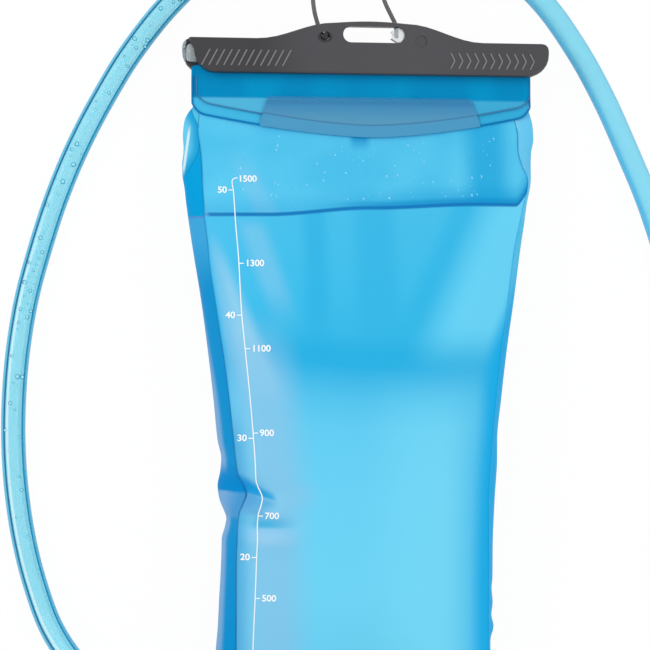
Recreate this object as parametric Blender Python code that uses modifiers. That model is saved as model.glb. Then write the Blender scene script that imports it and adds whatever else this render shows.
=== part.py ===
"""Hydration bladder, filled, lying on its back with its drink tube laid round it.

Metres, +Z up. +Y points along the bag to its closure and +Z out of its front face.
The origin is at the middle of the bag and bar, on the surface that the bag lies on.
"""
import math

import bmesh
import bpy
from mathutils import Vector

# Clearances and film
GAP = 0.0003
FILM = 0.0004
ROUND_STEPS = 24
SMALL_STEPS = 16

# Bag: its length below the bar, its widths and its thickness when full
BAG_LENGTH = 0.3478
BAG_CENTRE_X = -0.0046
NECK_WIDTH = 0.1524
EAR_FLARE = 0.0022
WAIST_TAPER = 0.0148
BASE_FLARE = 0.0061
BODY_THICKNESS = 0.0540
NECK_DEPTH = 0.0160
EAR_TOP_DEPTH = 0.0270
EAR_LOW_DEPTH = 0.0480
SHOULDER_DEPTH = 0.0830
CHEST_DEPTH = 0.1050
BODY_DEPTH = 0.1500
WAIST_DEPTH = 0.1950
BASE_TAPER = 0.0360
SEAM_INSET = 0.0050
FRONT_SEAM_HEIGHT = 0.0440
BACK_SEAM_HEIGHT = 0.0080
BASE_WELD_HEIGHT = 0.0180
BASE_WELD_DEPTH = 0.0078
WATER_INSET = 0.0012
WATER_LINE_DEPTH = 0.0600

# Slide bar
BAR_LENGTH = 0.1660
BAR_THICKNESS = 0.0126
BAR_BOTTOM_Y = 0.1620
BAR_END_HEIGHT = 0.0155
BAR_END_TAPER = 0.0005
BAR_EDGE_ROUND = 0.0010
HUMP_RISE = 0.0083
HUMP_TOP_WIDTH = 0.0330
HUMP_SHOULDER = 0.0350
HUMP_CENTRE_X = 0.0010
HUMP_PLATE = 0.0050
CORNER_TOP_RADIUS = 0.0030
CORNER_LOW_RADIUS = 0.0100
FRONT_CUTAWAY = 0.0045
STOP_LIP = 0.0011
SLOT_LENGTH = 0.0284
SLOT_HEIGHT = 0.0072
SLOT_CENTRE_X = 0.0025
SLOT_RISE = 0.0142
CORD_HOLE_RADIUS = 0.0022
CORD_HOLE_X = -0.0199
CORD_HOLE_RISE = 0.0170
RECESS_RADIUS = 0.0027
RECESS_DEPTH = 0.0005
RECESS_X = 0.0238
RECESS_RISE = 0.0151

# Grip ribs on the bar's front: slashes on the left, chevrons on the right
RIB_WIDTH = 0.0007
RIB_RISE = 0.0003
SLASH_COUNT = 12
SLASH_PITCH = 0.0033
SLASH_END_MARGIN = 0.0095
SLASH_LEAN = 0.0038
CHEVRON_COUNT = 11
CHEVRON_PITCH = 0.00366
CHEVRON_END_MARGIN = 0.0456
CHEVRON_POINT = 0.0018
GRIP_HEIGHT = 0.0071
GRIP_MIDDLE_RISE = 0.0066

# Closure rail and the folded mouth round it
RAIL_HEIGHT = 0.0240
RAIL_RISE = 0.0090
RAIL_RADIUS = 0.0027
RAIL_HEAD_LENGTH = 0.0090
RAIL_RIGHT_SETBACK = 0.0060
NECK_FILLET = 0.0015
CHANNEL_CLEARANCE = 0.0004
PANEL_TOP_DEPTH = 0.0060
FLAP_DROP = 0.0279
FLAP_SIDE_RISE = 0.0130
FLAP_CORNER = 0.0060
OUTER_LIP_STEP = 0.0045
GRIP_TAB_WIDTH = 0.1060
GRIP_TAB_TOP = 0.0090

# Port in the front panel and its shut-off
PORT_DEPTH = 0.2840
FLANGE_RADIUS = 0.0200
FLANGE_THICKNESS = 0.0014
SOCKET_RADIUS = 0.0120
SOCKET_BORE = 0.0090
SOCKET_RISE = 0.0120
SOCKET_DROP = 0.0220
SEAT_RADIUS = 0.0050
SEAT_TOP = -0.0040
SEAT_THICKNESS = 0.0030
RETAINER_THICKNESS = 0.0020
RETAINER_HOLE = 0.0032
POPPET_RADIUS = 0.0065
POPPET_THICKNESS = 0.0020
POPPET_STEM = 0.0018
POPPET_TRAVEL = 0.0046
SEAL_SECTION = 0.0006
SPRING_WIRE = 0.0004
POPPET_SPRING_RADIUS = 0.0045
BUTTON_RADIUS = 0.0034
BUTTON_BOSS_RADIUS = 0.0048
BUTTON_BOSS_REACH = 0.0190
BUTTON_LENGTH = 0.0048
BUTTON_RISE = 0.0069
BUTTON_SPRING_RADIUS = 0.0024
BUTTON_SPRING_LENGTH = 0.0031

# Plug elbow, tube and bite valve
PLUG_CLEARANCE = 0.0004
PLUG_BORE = 0.0055
PLUG_HEAD_RADIUS = 0.0110
PLUG_HEAD_HEIGHT = 0.0137
BARB_RISE = 0.0064
BARB_COLLAR_RADIUS = 0.0055
BARB_COLLAR_REACH = 0.0123
BARB_LENGTH = 0.0150
BARB_BORE = 0.0018
PUSH_BAR_WIDTH = 0.0040
TUBE_RADIUS = 0.0055
TUBE_BORE = 0.003175
VALVE_BODY_RADIUS = 0.0065
VALVE_BODY_LENGTH = 0.0250
COLLAR_RADIUS = 0.0096
COLLAR_LENGTH = 0.0170
COLLAR_FLUTES = 10
FLUTE_RADIUS = 0.0014
SHEATH_RADIUS = 0.0084
SHEATH_WALL = 0.0016
SHEATH_LENGTH = 0.0300
STEM_TIP_LENGTH = 0.0120
SHEATH_TIP_FLATNESS = 0.62
SHEATH_TIP_SPREAD = 1.12
SHEATH_SLIT_LENGTH = 0.0090
SHEATH_SLIT_WIDTH = 0.0006

# Hang cord
CORD_RADIUS = 0.0010
KNOT_RADIUS = 0.0019

# Route of the tube past its straight run out of the elbow, over the bag's side and along the floor
TUBE_RUN_OUT = 0.0148
TUBE_LEAD_STEPS = 5
TUBE_ROUTE = (
    (-0.0470, -0.1220, 0.0722),
    (-0.0660, -0.1225, 0.0668), (-0.0840, -0.1222, 0.0555), (-0.1010, -0.1195, 0.0420),
    (-0.1170, -0.1130, 0.0295), (-0.1305, -0.1015, 0.0195), (-0.1410, -0.0860, 0.0117),
    (-0.1480, -0.0670, 0.0070), (-0.1530, -0.0470, 0.0055), (-0.1562, -0.0260, 0.0055),
    (-0.1577, -0.0050, 0.0055), (-0.1575, 0.0160, 0.0055), (-0.1557, 0.0380, 0.0055),
    (-0.1519, 0.0610, 0.0055), (-0.1461, 0.0830, 0.0055), (-0.1387, 0.1060, 0.0055),
    (-0.1295, 0.1285, 0.0055), (-0.1180, 0.1510, 0.0055), (-0.1040, 0.1740, 0.0055),
    (-0.0855, 0.1970, 0.0055), (-0.0620, 0.2180, 0.0055), (-0.0330, 0.2320, 0.0055),
    (0.0000, 0.2375, 0.0055), (0.0330, 0.2335, 0.0055), (0.0610, 0.2205, 0.0055),
    (0.0848, 0.2002, 0.0055), (0.1020, 0.1773, 0.0055), (0.1151, 0.1543, 0.0055),
    (0.1259, 0.1310, 0.0055), (0.1358, 0.1080, 0.0055), (0.1440, 0.0840, 0.0055),
    (0.1505, 0.0600, 0.0055), (0.1545, 0.0360, 0.0062), (0.1563, 0.0140, 0.0080),
    (0.1570, -0.0080, 0.0095), (0.1572, -0.0280, 0.0099), (0.1572, -0.0480, 0.0099),
)
# Route of the hang cord, from the knot in its hole round the loop to the anchor: across the bar,
# above the bar's lower edge, and below the bar's front
CORD_ROUTE = (
    (-0.0199, 0.0170, -0.0049), (-0.0200, 0.0174, -0.0067), (-0.0204, 0.0186, -0.0081),
    (-0.0211, 0.0208, -0.0089), (-0.0221, 0.0240, -0.0093), (-0.0232, 0.0285, -0.0099),
    (-0.0238, 0.0340, -0.0107), (-0.0236, 0.0410, -0.0121), (-0.0215, 0.0480, -0.0135),
    (-0.0165, 0.0535, -0.0147), (-0.0090, 0.0560, -0.0153), (-0.0015, 0.0540, -0.0151),
    (0.0040, 0.0485, -0.0141), (0.0072, 0.0415, -0.0127), (0.0092, 0.0340, -0.0113),
    (0.0118, 0.0280, -0.0101), (0.0138, 0.0235, -0.0093), (0.0140, 0.0205, -0.0087),
    (0.0137, 0.0186, -0.0075), (0.0136, 0.0178, -0.0054),
)

# Places that follow from the sizes above
EAR_WIDTH = NECK_WIDTH + 2 * EAR_FLARE
WAIST_WIDTH = NECK_WIDTH - 2 * WAIST_TAPER
BASE_WIDTH = WAIST_WIDTH + 2 * BASE_FLARE
RAIL_Y = BAR_BOTTOM_Y + RAIL_RISE
BAR_FRONT_Z = RAIL_HEIGHT + BAR_THICKNESS / 2
INNER_FOLD_RADIUS = RAIL_RADIUS + GAP
OUTER_FOLD_RADIUS = INNER_FOLD_RADIUS + FILM + GAP
CHANNEL_RADIUS = OUTER_FOLD_RADIUS + FILM + CHANNEL_CLEARANCE
LAYER_STEP = FILM + GAP
SLIT_HALF = GAP / 2 + FILM + LAYER_STEP + CHANNEL_CLEARANCE
BAR_TOP_LEFT_Y = BAR_BOTTOM_Y + BAR_END_HEIGHT
PORT_X = BAG_CENTRE_X
PORT_Y = BAR_BOTTOM_Y - PORT_DEPTH
CROWN_Z = BODY_THICKNESS
PLUG_RADIUS = SOCKET_BORE - PLUG_CLEARANCE
PLUG_FOOT = SEAT_TOP + 2 * GAP
POPPET_TOP = PLUG_FOOT - GAP
POPPET_DISC_TOP = SEAT_TOP - SEAT_THICKNESS - POPPET_TRAVEL - 2 * SEAL_SECTION - GAP
BARB_RADIUS = TUBE_BORE - GAP
BARB_Z = SOCKET_RISE + BARB_RISE


def clear_scene():
    """Remove every object of the scene."""
    for item in list(bpy.data.objects):
        bpy.data.objects.remove(item, do_unlink=True)


def new_collection(name):
    """Return a new collection linked to the scene."""
    made = bpy.data.collections.new(name)
    bpy.context.scene.collection.children.link(made)
    return made


def new_material(name, colour, roughness, metallic=0.0, alpha=1.0):
    """Return a Principled material with plain values."""
    made = bpy.data.materials.new(name)
    made.use_nodes = True
    shader = made.node_tree.nodes["Principled BSDF"]
    shader.inputs["Base Color"].default_value = (*colour, 1.0)
    shader.inputs["Roughness"].default_value = roughness
    shader.inputs["Metallic"].default_value = metallic
    shader.inputs["Alpha"].default_value = alpha
    made.diffuse_color = (*colour, alpha)
    return made


clear_scene()
PARTS = new_collection("hydration_bladder")
CUTTERS = new_collection("cutters")

BLUE_FILM = new_material("blue_film", (0.05, 0.47, 0.80), 0.25, alpha=0.6)
FROSTED_FILM = new_material("frosted_film", (0.30, 0.52, 0.70), 0.55, alpha=0.8)
WATER = new_material("water", (0.25, 0.68, 0.92), 0.05, alpha=0.5)
CLEAR_PLASTIC = new_material("clear_plastic", (0.80, 0.84, 0.86), 0.15, alpha=0.6)
GREY_PLASTIC = new_material("grey_plastic", (0.080, 0.080, 0.086), 0.45)
GREY_CORD = new_material("grey_cord", (0.10, 0.10, 0.10), 0.85)
BLUE_TUBE = new_material("blue_tube", (0.12, 0.55, 0.82), 0.2, alpha=0.7)
BLUE_SILICONE = new_material("blue_silicone", (0.08, 0.45, 0.75), 0.5)
BLACK_RUBBER = new_material("black_rubber", (0.02, 0.02, 0.02), 0.6)
STEEL = new_material("spring_steel", (0.60, 0.60, 0.62), 0.3, metallic=1.0)

ROOT = bpy.data.objects.new("bladder", None)
PARTS.objects.link(ROOT)


def add_part(name, mesh, material, location=(0.0, 0.0, 0.0), rotation=(0.0, 0.0, 0.0)):
    """Link a mesh as a named part under the root empty."""
    made = bpy.data.objects.new(name, mesh)
    made.location = location
    made.rotation_euler = rotation
    made.parent = ROOT
    mesh.materials.append(material)
    mesh.shade_smooth()
    mesh.set_sharp_from_angle(angle=math.radians(35))
    PARTS.objects.link(made)
    return made


def add_cutter(name, mesh, location=(0.0, 0.0, 0.0), rotation=(0.0, 0.0, 0.0)):
    """Link a mesh as a hidden guide that cuts or joins other parts."""
    made = bpy.data.objects.new(name, mesh)
    made.location = location
    made.rotation_euler = rotation
    made.hide_render = True
    made.display_type = "WIRE"
    CUTTERS.objects.link(made)
    return made


def combine(target, tool, operation="DIFFERENCE"):
    """Add a Boolean of one guide to a part."""
    step = target.modifiers.new(tool.name, "BOOLEAN")
    step.operation = operation
    step.object = tool
    step.solver = "EXACT"


def mesh_from(name, bm):
    """Write a bmesh into a new mesh with its faces pointing out."""
    bmesh.ops.recalc_face_normals(bm, faces=bm.faces)
    mesh = bpy.data.meshes.new(name)
    bm.to_mesh(mesh)
    bm.free()
    return mesh


def evaluated_mesh(name, source):
    """Return a source object's evaluated shape as a welded mesh, and remove the source."""
    bpy.context.view_layer.update()
    graph = bpy.context.evaluated_depsgraph_get()
    mesh = bpy.data.meshes.new_from_object(source.evaluated_get(graph))
    mesh.name = name
    bm = bmesh.new()
    bm.from_mesh(mesh)
    bmesh.ops.remove_doubles(bm, verts=bm.verts, dist=1e-6)
    bmesh.ops.recalc_face_normals(bm, faces=bm.faces)
    bm.to_mesh(mesh)
    bm.free()
    bpy.data.objects.remove(source, do_unlink=True)
    return mesh


def turned_mesh(name, profile, steps=ROUND_STEPS, closed=True):
    """Return a mesh turned about Z from (radius, height) points that run down the outer side."""
    mesh = bpy.data.meshes.new(name)
    count = len(profile)
    edges = [(i, i + 1) for i in range(count - 1)]
    if closed:
        edges.append((count - 1, 0))
    mesh.from_pydata([(r, 0.0, z) for r, z in profile], edges, [])
    holder = bpy.data.objects.new(name, mesh)
    bpy.context.scene.collection.objects.link(holder)
    screw = holder.modifiers.new("turn", "SCREW")
    screw.axis = "Z"
    screw.steps = steps
    screw.render_steps = steps
    screw.use_merge_vertices = True
    screw.merge_threshold = 1e-6
    return evaluated_mesh(name, holder)


def ring_profile(inner, outer, low, high):
    """Return the closed profile of a plain ring."""
    return [(outer, high), (outer, low), (inner, low), (inner, high)]


def torus_mesh(name, major, minor):
    """Return an O-ring's mesh about Z."""
    sides = 6
    angles = [-2 * math.pi * k / sides for k in range(sides)]
    profile = [(major + minor * math.cos(a), minor * math.sin(a)) for a in angles]
    return turned_mesh(name, profile)


def cylinder_mesh(name, radius, depth, steps=ROUND_STEPS):
    """Return a cylinder about Z, centred on its origin."""
    bm = bmesh.new()
    bmesh.ops.create_cone(bm, cap_ends=True, segments=steps, radius1=radius, radius2=radius, depth=depth)
    return mesh_from(name, bm)


def box_mesh(name, size):
    """Return a box centred on its origin."""
    bm = bmesh.new()
    bmesh.ops.create_cube(bm, size=1.0)
    bmesh.ops.scale(bm, vec=Vector(size), verts=bm.verts)
    return mesh_from(name, bm)


def prism_mesh(name, outline, depth, rounding=0.0):
    """Return a flat outline in XY, thick along Z about its plane, with rounded rims if asked."""
    curve = bpy.data.curves.new(name, "CURVE")
    curve.dimensions = "2D"
    curve.fill_mode = "BOTH"
    curve.extrude = depth / 2 - rounding
    curve.bevel_depth = rounding
    curve.bevel_resolution = 1
    curve.offset = -rounding
    spline = curve.splines.new("POLY")
    spline.points.add(len(outline) - 1)
    for point, (x, y) in zip(spline.points, outline):
        point.co = (x, y, 0.0, 1.0)
    spline.use_cyclic_u = True
    holder = bpy.data.objects.new(name, curve)
    bpy.context.scene.collection.objects.link(holder)
    return evaluated_mesh(name, holder)


def arc(centre, radius, start, end, steps):
    """Return points on an arc, angles in degrees, both ends included."""
    angles = [math.radians(start + (end - start) * k / steps) for k in range(steps + 1)]
    return [(centre[0] + radius * math.cos(a), centre[1] + radius * math.sin(a)) for a in angles]


def sheet_mesh(name, columns, rows, place):
    """Return a grid whose corners (u, v), from 0 to 1, are put where place(u, v) says."""
    bm = bmesh.new()
    bmesh.ops.create_grid(bm, x_segments=columns, y_segments=rows, size=1.0)
    for vert in bm.verts:
        vert.co = Vector(place((vert.co.x + 1) / 2, (vert.co.y + 1) / 2))
    mesh = bpy.data.meshes.new(name)
    bm.to_mesh(mesh)
    bm.free()
    return mesh


def thicken(part, thickness, offset):
    """Give a sheet its thickness, on the side that offset says."""
    step = part.modifiers.new("thickness", "SOLIDIFY")
    step.thickness = thickness
    step.offset = offset
    step.use_even_offset = True


def smooth_route(route, step):
    """Return points about one step apart on a smooth curve through the route's points."""
    knots = [Vector(p) for p in route]
    ends = [2 * knots[0] - knots[1]] + knots + [2 * knots[-1] - knots[-2]]
    fine = []
    parts = 12
    for a, b, c, d in zip(ends, ends[1:], ends[2:], ends[3:]):
        for k in range(parts):
            t = k / parts
            fine.append(0.5 * (2 * b + (c - a) * t + (2 * a - 5 * b + 4 * c - d) * t ** 2
                               + (3 * b - a - 3 * c + d) * t ** 3))
    fine.append(knots[-1])
    lengths = [0.0]
    for a, b in zip(fine, fine[1:]):
        lengths.append(lengths[-1] + (b - a).length)
    count = max(2, round(lengths[-1] / step))
    points = []
    index = 0
    for k in range(count + 1):
        want = lengths[-1] * k / count
        while index < len(fine) - 2 and lengths[index + 1] < want:
            index += 1
        share = (want - lengths[index]) / (lengths[index + 1] - lengths[index])
        points.append(fine[index].lerp(fine[index + 1], min(1.0, share)))
    return points


def wire_curve(name, points, radius, resolution, caps=True):
    """Return a curve object that follows the points with a round section."""
    curve = bpy.data.curves.new(name, "CURVE")
    curve.dimensions = "3D"
    curve.bevel_depth = radius
    curve.bevel_resolution = resolution
    curve.use_fill_caps = caps
    spline = curve.splines.new("POLY")
    spline.points.add(len(points) - 1)
    for point, place in zip(spline.points, points):
        point.co = (*place, 1.0)
    return bpy.data.objects.new(name, curve)


def wire_mesh(name, points, radius, resolution, caps=True):
    """Return the welded mesh of a round wire along the points."""
    holder = wire_curve(name, points, radius, resolution, caps)
    bpy.context.scene.collection.objects.link(holder)
    return evaluated_mesh(name, holder)


# Bag sections

def bag_stations():
    """Return the bag's sections from the neck to the base weld.

    Each row is the depth below the bar, half the width, the seams' inset, and the heights of
    the front crown, the front seam, the back seam and the back.
    """
    neck_front = RAIL_HEIGHT - GAP / 2
    neck_back = neck_front - FILM - LAYER_STEP
    weld_front = BASE_WELD_HEIGHT + GAP / 2 + FILM
    weld_back = BASE_WELD_HEIGHT - GAP / 2 - FILM
    full = BODY_THICKNESS
    front = FRONT_SEAM_HEIGHT
    back = BACK_SEAM_HEIGHT
    waist = WAIST_WIDTH / 2
    ear = EAR_WIDTH / 2
    weld = BAG_LENGTH - BASE_WELD_DEPTH
    rise = full - neck_front
    seam = front - neck_front
    base = BASE_WIDTH / 2
    foot = base - 0.5 * BASE_WELD_DEPTH

    def upper(depth, half, inset, crown, crown_seam, under_seam, under):
        return (depth, half, inset * SEAM_INSET, neck_front + crown * rise, neck_front + crown_seam * seam,
                back + under_seam * (neck_back - back), under * neck_back)

    def lower(depth, widen, inset, crown, crown_seam, under_seam, under):
        return (depth, waist + widen * (base - waist), inset * SEAM_INSET,
                weld_front + crown * (full - weld_front), weld_front + crown_seam * (front - weld_front),
                weld_back + under_seam * (back - weld_back), under * weld_back)

    def between(share):
        return waist + share * (ear - waist)

    return (
        (PANEL_TOP_DEPTH, NECK_WIDTH / 2, 0.0, neck_front, neck_front, neck_back, neck_back),
        upper(NECK_DEPTH, NECK_WIDTH / 2, 0.0, 0.06, 0.04, 0.97, 0.96),
        upper(EAR_TOP_DEPTH, ear, 0.5, 0.15, 0.14, 0.80, 0.81),
        upper(EAR_LOW_DEPTH, ear, 0.8, 0.34, 0.31, 0.47, 0.53),
        upper(WATER_LINE_DEPTH, 0.98 * ear, 0.9, 0.45, 0.41, 0.30, 0.35),
        upper(SHOULDER_DEPTH, between(0.70), 1.0, 0.65, 0.61, 0.10, 0.11),
        upper(CHEST_DEPTH, between(0.51), 1.0, 0.79, 0.76, 0.03, 0.0),
        upper(BODY_DEPTH, between(0.17), 1.0, 0.94, 0.95, 0.0, 0.0),
        (WAIST_DEPTH, waist, SEAM_INSET, full, front, back, 0.0),
        (weld - BASE_TAPER, waist, SEAM_INSET, full, front, back, 0.0),
        lower(weld - BASE_TAPER / 2, 0.3, 0.8, 0.72, 0.72, 0.90, 0.04),
        lower(weld - BASE_TAPER / 6, 0.8, 0.4, 0.30, 0.28, 0.45, 0.42),
        (weld, base, 0.0, weld_front, weld_front, weld_back, weld_back),
        (BAG_LENGTH, foot, 0.0, weld_front, weld_front, weld_back, weld_back),
    )


STATIONS = bag_stations()


def station_slope(index, field):
    """Return a field's slope at a station, level where it turns, so that nothing overshoots."""
    if index in (0, len(STATIONS) - 1):
        return 0.0
    before, here, after = STATIONS[index - 1:index + 2]
    low = (here[field] - before[field]) / (here[0] - before[0])
    high = (after[field] - here[field]) / (after[0] - here[0])
    if low * high <= 0:
        return 0.0
    return 2 * low * high / (low + high)


def section_at(depth):
    """Return half width, inset and the four heights of the bag at a depth below the bar."""
    depth = min(max(depth, STATIONS[0][0]), STATIONS[-1][0])
    index = max(i for i, row in enumerate(STATIONS[:-1]) if row[0] <= depth)
    start, end = STATIONS[index], STATIONS[index + 1]
    span = end[0] - start[0]
    t = (depth - start[0]) / span
    values = []
    for field in range(1, 7):
        rise = end[field] - start[field]
        a = station_slope(index, field) * span
        b = station_slope(index + 1, field) * span
        values.append(start[field] + a * t + (3 * rise - 2 * a - b) * t ** 2 + (a + b - 2 * rise) * t ** 3)
    return values


def depth_of_row(v, first=0, last=len(STATIONS) - 1):
    """Return the depth at share v of the stations from first to last, evenly many rows in each."""
    place = first + v * (last - first)
    index = min(int(place), len(STATIONS) - 2)
    return STATIONS[index][0] + (place - index) * (STATIONS[index + 1][0] - STATIONS[index][0])


def front_point(t, depth):
    """Return a point of the front panel's outer face, t from -1 to 1 across it."""
    half, inset, front, front_seam, _, _ = section_at(depth)
    height = front_seam + (front - front_seam) * (1 - abs(t) ** 3)
    return (BAG_CENTRE_X + t * (half - inset), BAR_BOTTOM_Y - depth, height)


def back_point(t, depth):
    """Return a point of the back panel's outer face, flat over its middle."""
    half, inset, _, _, back_seam, back = section_at(depth)
    flat = 0.7
    climb = max(0.0, (abs(t) - flat) / (1 - flat))
    return (BAG_CENTRE_X + t * (half - inset), BAR_BOTTOM_Y - depth, back + (back_seam - back) * climb ** 2)


def gusset_point(side, s, depth):
    """Return a point of a gusset, s from 0 at the front seam to 1 at the back seam."""
    half, inset, _, front_seam, back_seam, _ = section_at(depth)
    reach = half - inset + inset * math.sin(math.pi * s)
    return (BAG_CENTRE_X + side * reach, BAR_BOTTOM_Y - depth, front_seam + (back_seam - front_seam) * s)


def front_height(x, depth):
    """Return the height of the front panel's outer face above a place."""
    half, inset, front, front_seam, _, _ = section_at(depth)
    t = min(1.0, abs(x - BAG_CENTRE_X) / (half - inset))
    return front_seam + (front - front_seam) * (1 - t ** 3)


PANEL_COLUMNS = 14
ROWS_PER_STATION = 2
GUSSET_FIRST = 1.6
GUSSET_LAST = 11.6


def build_panels():
    """Make the front and back film panels, the front one holed for the port."""
    rows = ROWS_PER_STATION * (len(STATIONS) - 1)
    sheet = sheet_mesh("front_panel", PANEL_COLUMNS, rows,
                       lambda u, v: front_point(2 * u - 1, depth_of_row(1 - v)))
    front = add_part("front_panel", sheet, BLUE_FILM)
    thicken(front, FILM, -1.0)
    hole = add_cutter("port_hole", cylinder_mesh("port_hole", SOCKET_RADIUS + GAP, 4 * FLANGE_THICKNESS),
                      (PORT_X, PORT_Y, CROWN_Z))
    combine(front, hole)
    sheet = sheet_mesh("back_panel", PANEL_COLUMNS, rows,
                       lambda u, v: back_point(1 - 2 * u, depth_of_row(1 - v)))
    back = add_part("back_panel", sheet, BLUE_FILM)
    thicken(back, FILM, -1.0)


def build_gussets():
    """Make the two side gussets, which run between the seams and end where they taper out."""
    rows = 16
    columns = 6
    seam_step = 2 * FILM

    def place(side, u, v):
        depth = depth_of_row(v, GUSSET_FIRST, GUSSET_LAST)
        _, _, _, front_seam, back_seam, _ = section_at(depth)
        margin = min(0.45, seam_step / (front_seam - back_seam))
        return gusset_point(side, margin + (1 - 2 * margin) * u, depth)

    for side, name in ((-1, "left_gusset"), (1, "right_gusset")):
        part = add_part(name, sheet_mesh(name, columns, rows, lambda u, v: place(side, u, v)), BLUE_FILM)
        thicken(part, FILM, side)


def build_water():
    """Make the water that fills the bag below its water line, with room for the socket."""
    across = PANEL_COLUMNS
    around = 4
    sides = 2 * (across + around)
    first = 4
    last = 11
    rings = round(ROWS_PER_STATION * (last - first)) + 1

    def on_section(k, depth):
        if k <= across:
            return front_point(2 * k / across - 1, depth)
        if k <= across + around:
            return gusset_point(1, (k - across) / around, depth)
        if k <= 2 * across + around:
            return back_point(1 - 2 * (k - across - around) / across, depth)
        return gusset_point(-1, 1 - (k - 2 * across - around) / around, depth)

    def inset_point(point, depth):
        half, _, front, _, _, back = section_at(depth)
        middle = (front + back) / 2
        x = BAG_CENTRE_X + (point[0] - BAG_CENTRE_X) * (1 - WATER_INSET / half)
        return (x, point[1], middle + (point[2] - middle) * (1 - 2 * WATER_INSET / (front - back)))

    bm = bmesh.new()
    bmesh.ops.create_uvsphere(bm, u_segments=sides, v_segments=rings + 1, radius=1.0)
    for vert in bm.verts:
        ring = round((rings + 1) * math.acos(max(-1.0, min(1.0, vert.co.z))) / math.pi)
        depth = depth_of_row(min(max(ring - 1, 0), rings - 1) / (rings - 1), first, last)
        if ring in (0, rings + 1):
            _, _, front, _, _, back = section_at(depth)
            vert.co = Vector((BAG_CENTRE_X, BAR_BOTTOM_Y - depth, (front + back) / 2))
            continue
        k = round(sides * math.atan2(vert.co.y, vert.co.x) / (2 * math.pi)) % sides
        vert.co = Vector(inset_point(on_section(k, depth), depth))
    water = add_part("water_fill", mesh_from("water_fill", bm), WATER)
    pocket_depth = 2 * (SOCKET_DROP + 2 * GAP)
    pocket_mesh = cylinder_mesh("socket_pocket", SOCKET_RADIUS + 2 * GAP, pocket_depth)
    pocket = add_cutter("socket_pocket", pocket_mesh, (PORT_X, PORT_Y, CROWN_Z))
    combine(water, pocket)


# Folded mouth

def flap_edge(x, half, drop):
    """Return how far below the bar the folded mouth's lower edge lies at a place across it."""
    t = min(1.0, abs(x - BAG_CENTRE_X) / half)
    depth = drop - FLAP_SIDE_RISE * t ** 1.4
    from_side = half - abs(x - BAG_CENTRE_X)
    if from_side < FLAP_CORNER:
        inner = FLAP_CORNER - max(0.0, from_side)
        depth -= FLAP_CORNER - math.sqrt(FLAP_CORNER ** 2 - inner ** 2)
    return depth


def fold_path(offset):
    """Return (y, z) points of a film layer's inner face, up one leg, round the rail and down the other.

    The layer lies offset outside the innermost face, and runs parallel to it all the way.
    """
    leg = GAP / 2 + offset
    radius = INNER_FOLD_RADIUS + offset
    fillet = NECK_FILLET - offset
    throat_z = GAP / 2 + NECK_FILLET
    throat_y = -math.sqrt((INNER_FOLD_RADIUS + NECK_FILLET) ** 2 - throat_z ** 2)
    turn = math.degrees(math.atan2(throat_z, -throat_y))
    foot = (BAR_BOTTOM_Y - PANEL_TOP_DEPTH + GAP, -leg)
    fillet_steps = 3
    round_steps = 12
    back_fillet = arc((RAIL_Y + throat_y, -throat_z), fillet, 90, turn, fillet_steps)
    crest = arc((RAIL_Y, 0.0), radius, 180 + turn, 540 - turn, round_steps)
    front = [(y, -z) for y, z in reversed([foot] + back_fillet)]
    return [foot] + back_fillet + crest[1:-1] + front


def build_fold(name, offset, drop, clear):
    """Make one film layer of the folded mouth: legs, loop round the rail and the hanging lip."""
    path = fold_path(offset)
    lip_rows = 5
    rows = len(path) - 1 + lip_rows
    neck_half = NECK_WIDTH / 2
    head_end = -BAR_LENGTH / 2 + RAIL_HEAD_LENGTH
    lip_left = BAG_CENTRE_X - neck_half
    right = BAG_CENTRE_X + neck_half
    columns = 16
    top = PANEL_TOP_DEPTH - GAP

    def place(u, v):
        row = round(v * rows)
        share = max(0.0, (row - len(path) + 1) / lip_rows)
        left = head_end + (lip_left - head_end) * min(1.0, 2 * share)
        x = left + (right - left) * u
        if row < len(path):
            y, z = path[row]
            return (x, y, RAIL_HEIGHT + z)
        depth = top + (flap_edge(x, neck_half, drop) - top) * share
        return (x, BAR_BOTTOM_Y - depth, front_height(x, depth) + clear)

    part = add_part(name, sheet_mesh(name, columns, rows, place), BLUE_FILM)
    thicken(part, FILM, -1.0)


def build_mouth():
    """Make the folded mouth's two film layers, the frosted grip tab and the rail in the fold."""
    build_fold("mouth_fold_inner", 0.0, FLAP_DROP, GAP)
    build_fold("mouth_fold_outer", LAYER_STEP, FLAP_DROP - OUTER_LIP_STEP, GAP + LAYER_STEP)
    half = GRIP_TAB_WIDTH / 2

    def place(u, v):
        x = BAG_CENTRE_X + half * (2 * u - 1)
        low = flap_edge(x, NECK_WIDTH / 2, FLAP_DROP - OUTER_LIP_STEP)
        depth = low + (GRIP_TAB_TOP - low) * v
        return (x, BAR_BOTTOM_Y - depth, front_height(x, depth) + GAP + 2 * LAYER_STEP)

    tab = add_part("grip_tab", sheet_mesh("grip_tab", 12, 4, place), FROSTED_FILM)
    thicken(tab, FILM, 1.0)
    rail_left = -BAR_LENGTH / 2 + STOP_LIP + GAP
    rail_right = BAR_LENGTH / 2 - RAIL_RIGHT_SETBACK
    head = RAIL_HEAD_LENGTH - STOP_LIP - 2 * GAP
    head_radius = OUTER_FOLD_RADIUS + FILM
    length = rail_right - rail_left
    nose = 0.4 * head_radius
    profile = [(0.0, length), (head_radius - nose, length), (head_radius - 0.3 * nose, length - 0.3 * nose),
               (head_radius, length - nose), (head_radius, length - head), (RAIL_RADIUS, length - head),
               (RAIL_RADIUS, 0.3 * RAIL_RADIUS), (0.7 * RAIL_RADIUS, 0.0), (0.0, 0.0)]
    rail = turned_mesh("closure_rail", profile, SMALL_STEPS, closed=False)
    facing = (0.0, -math.pi / 2, 0.0)
    add_part("closure_rail", rail, CLEAR_PLASTIC, (rail_right, RAIL_Y, RAIL_HEIGHT), facing)


# Slide bar

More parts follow.
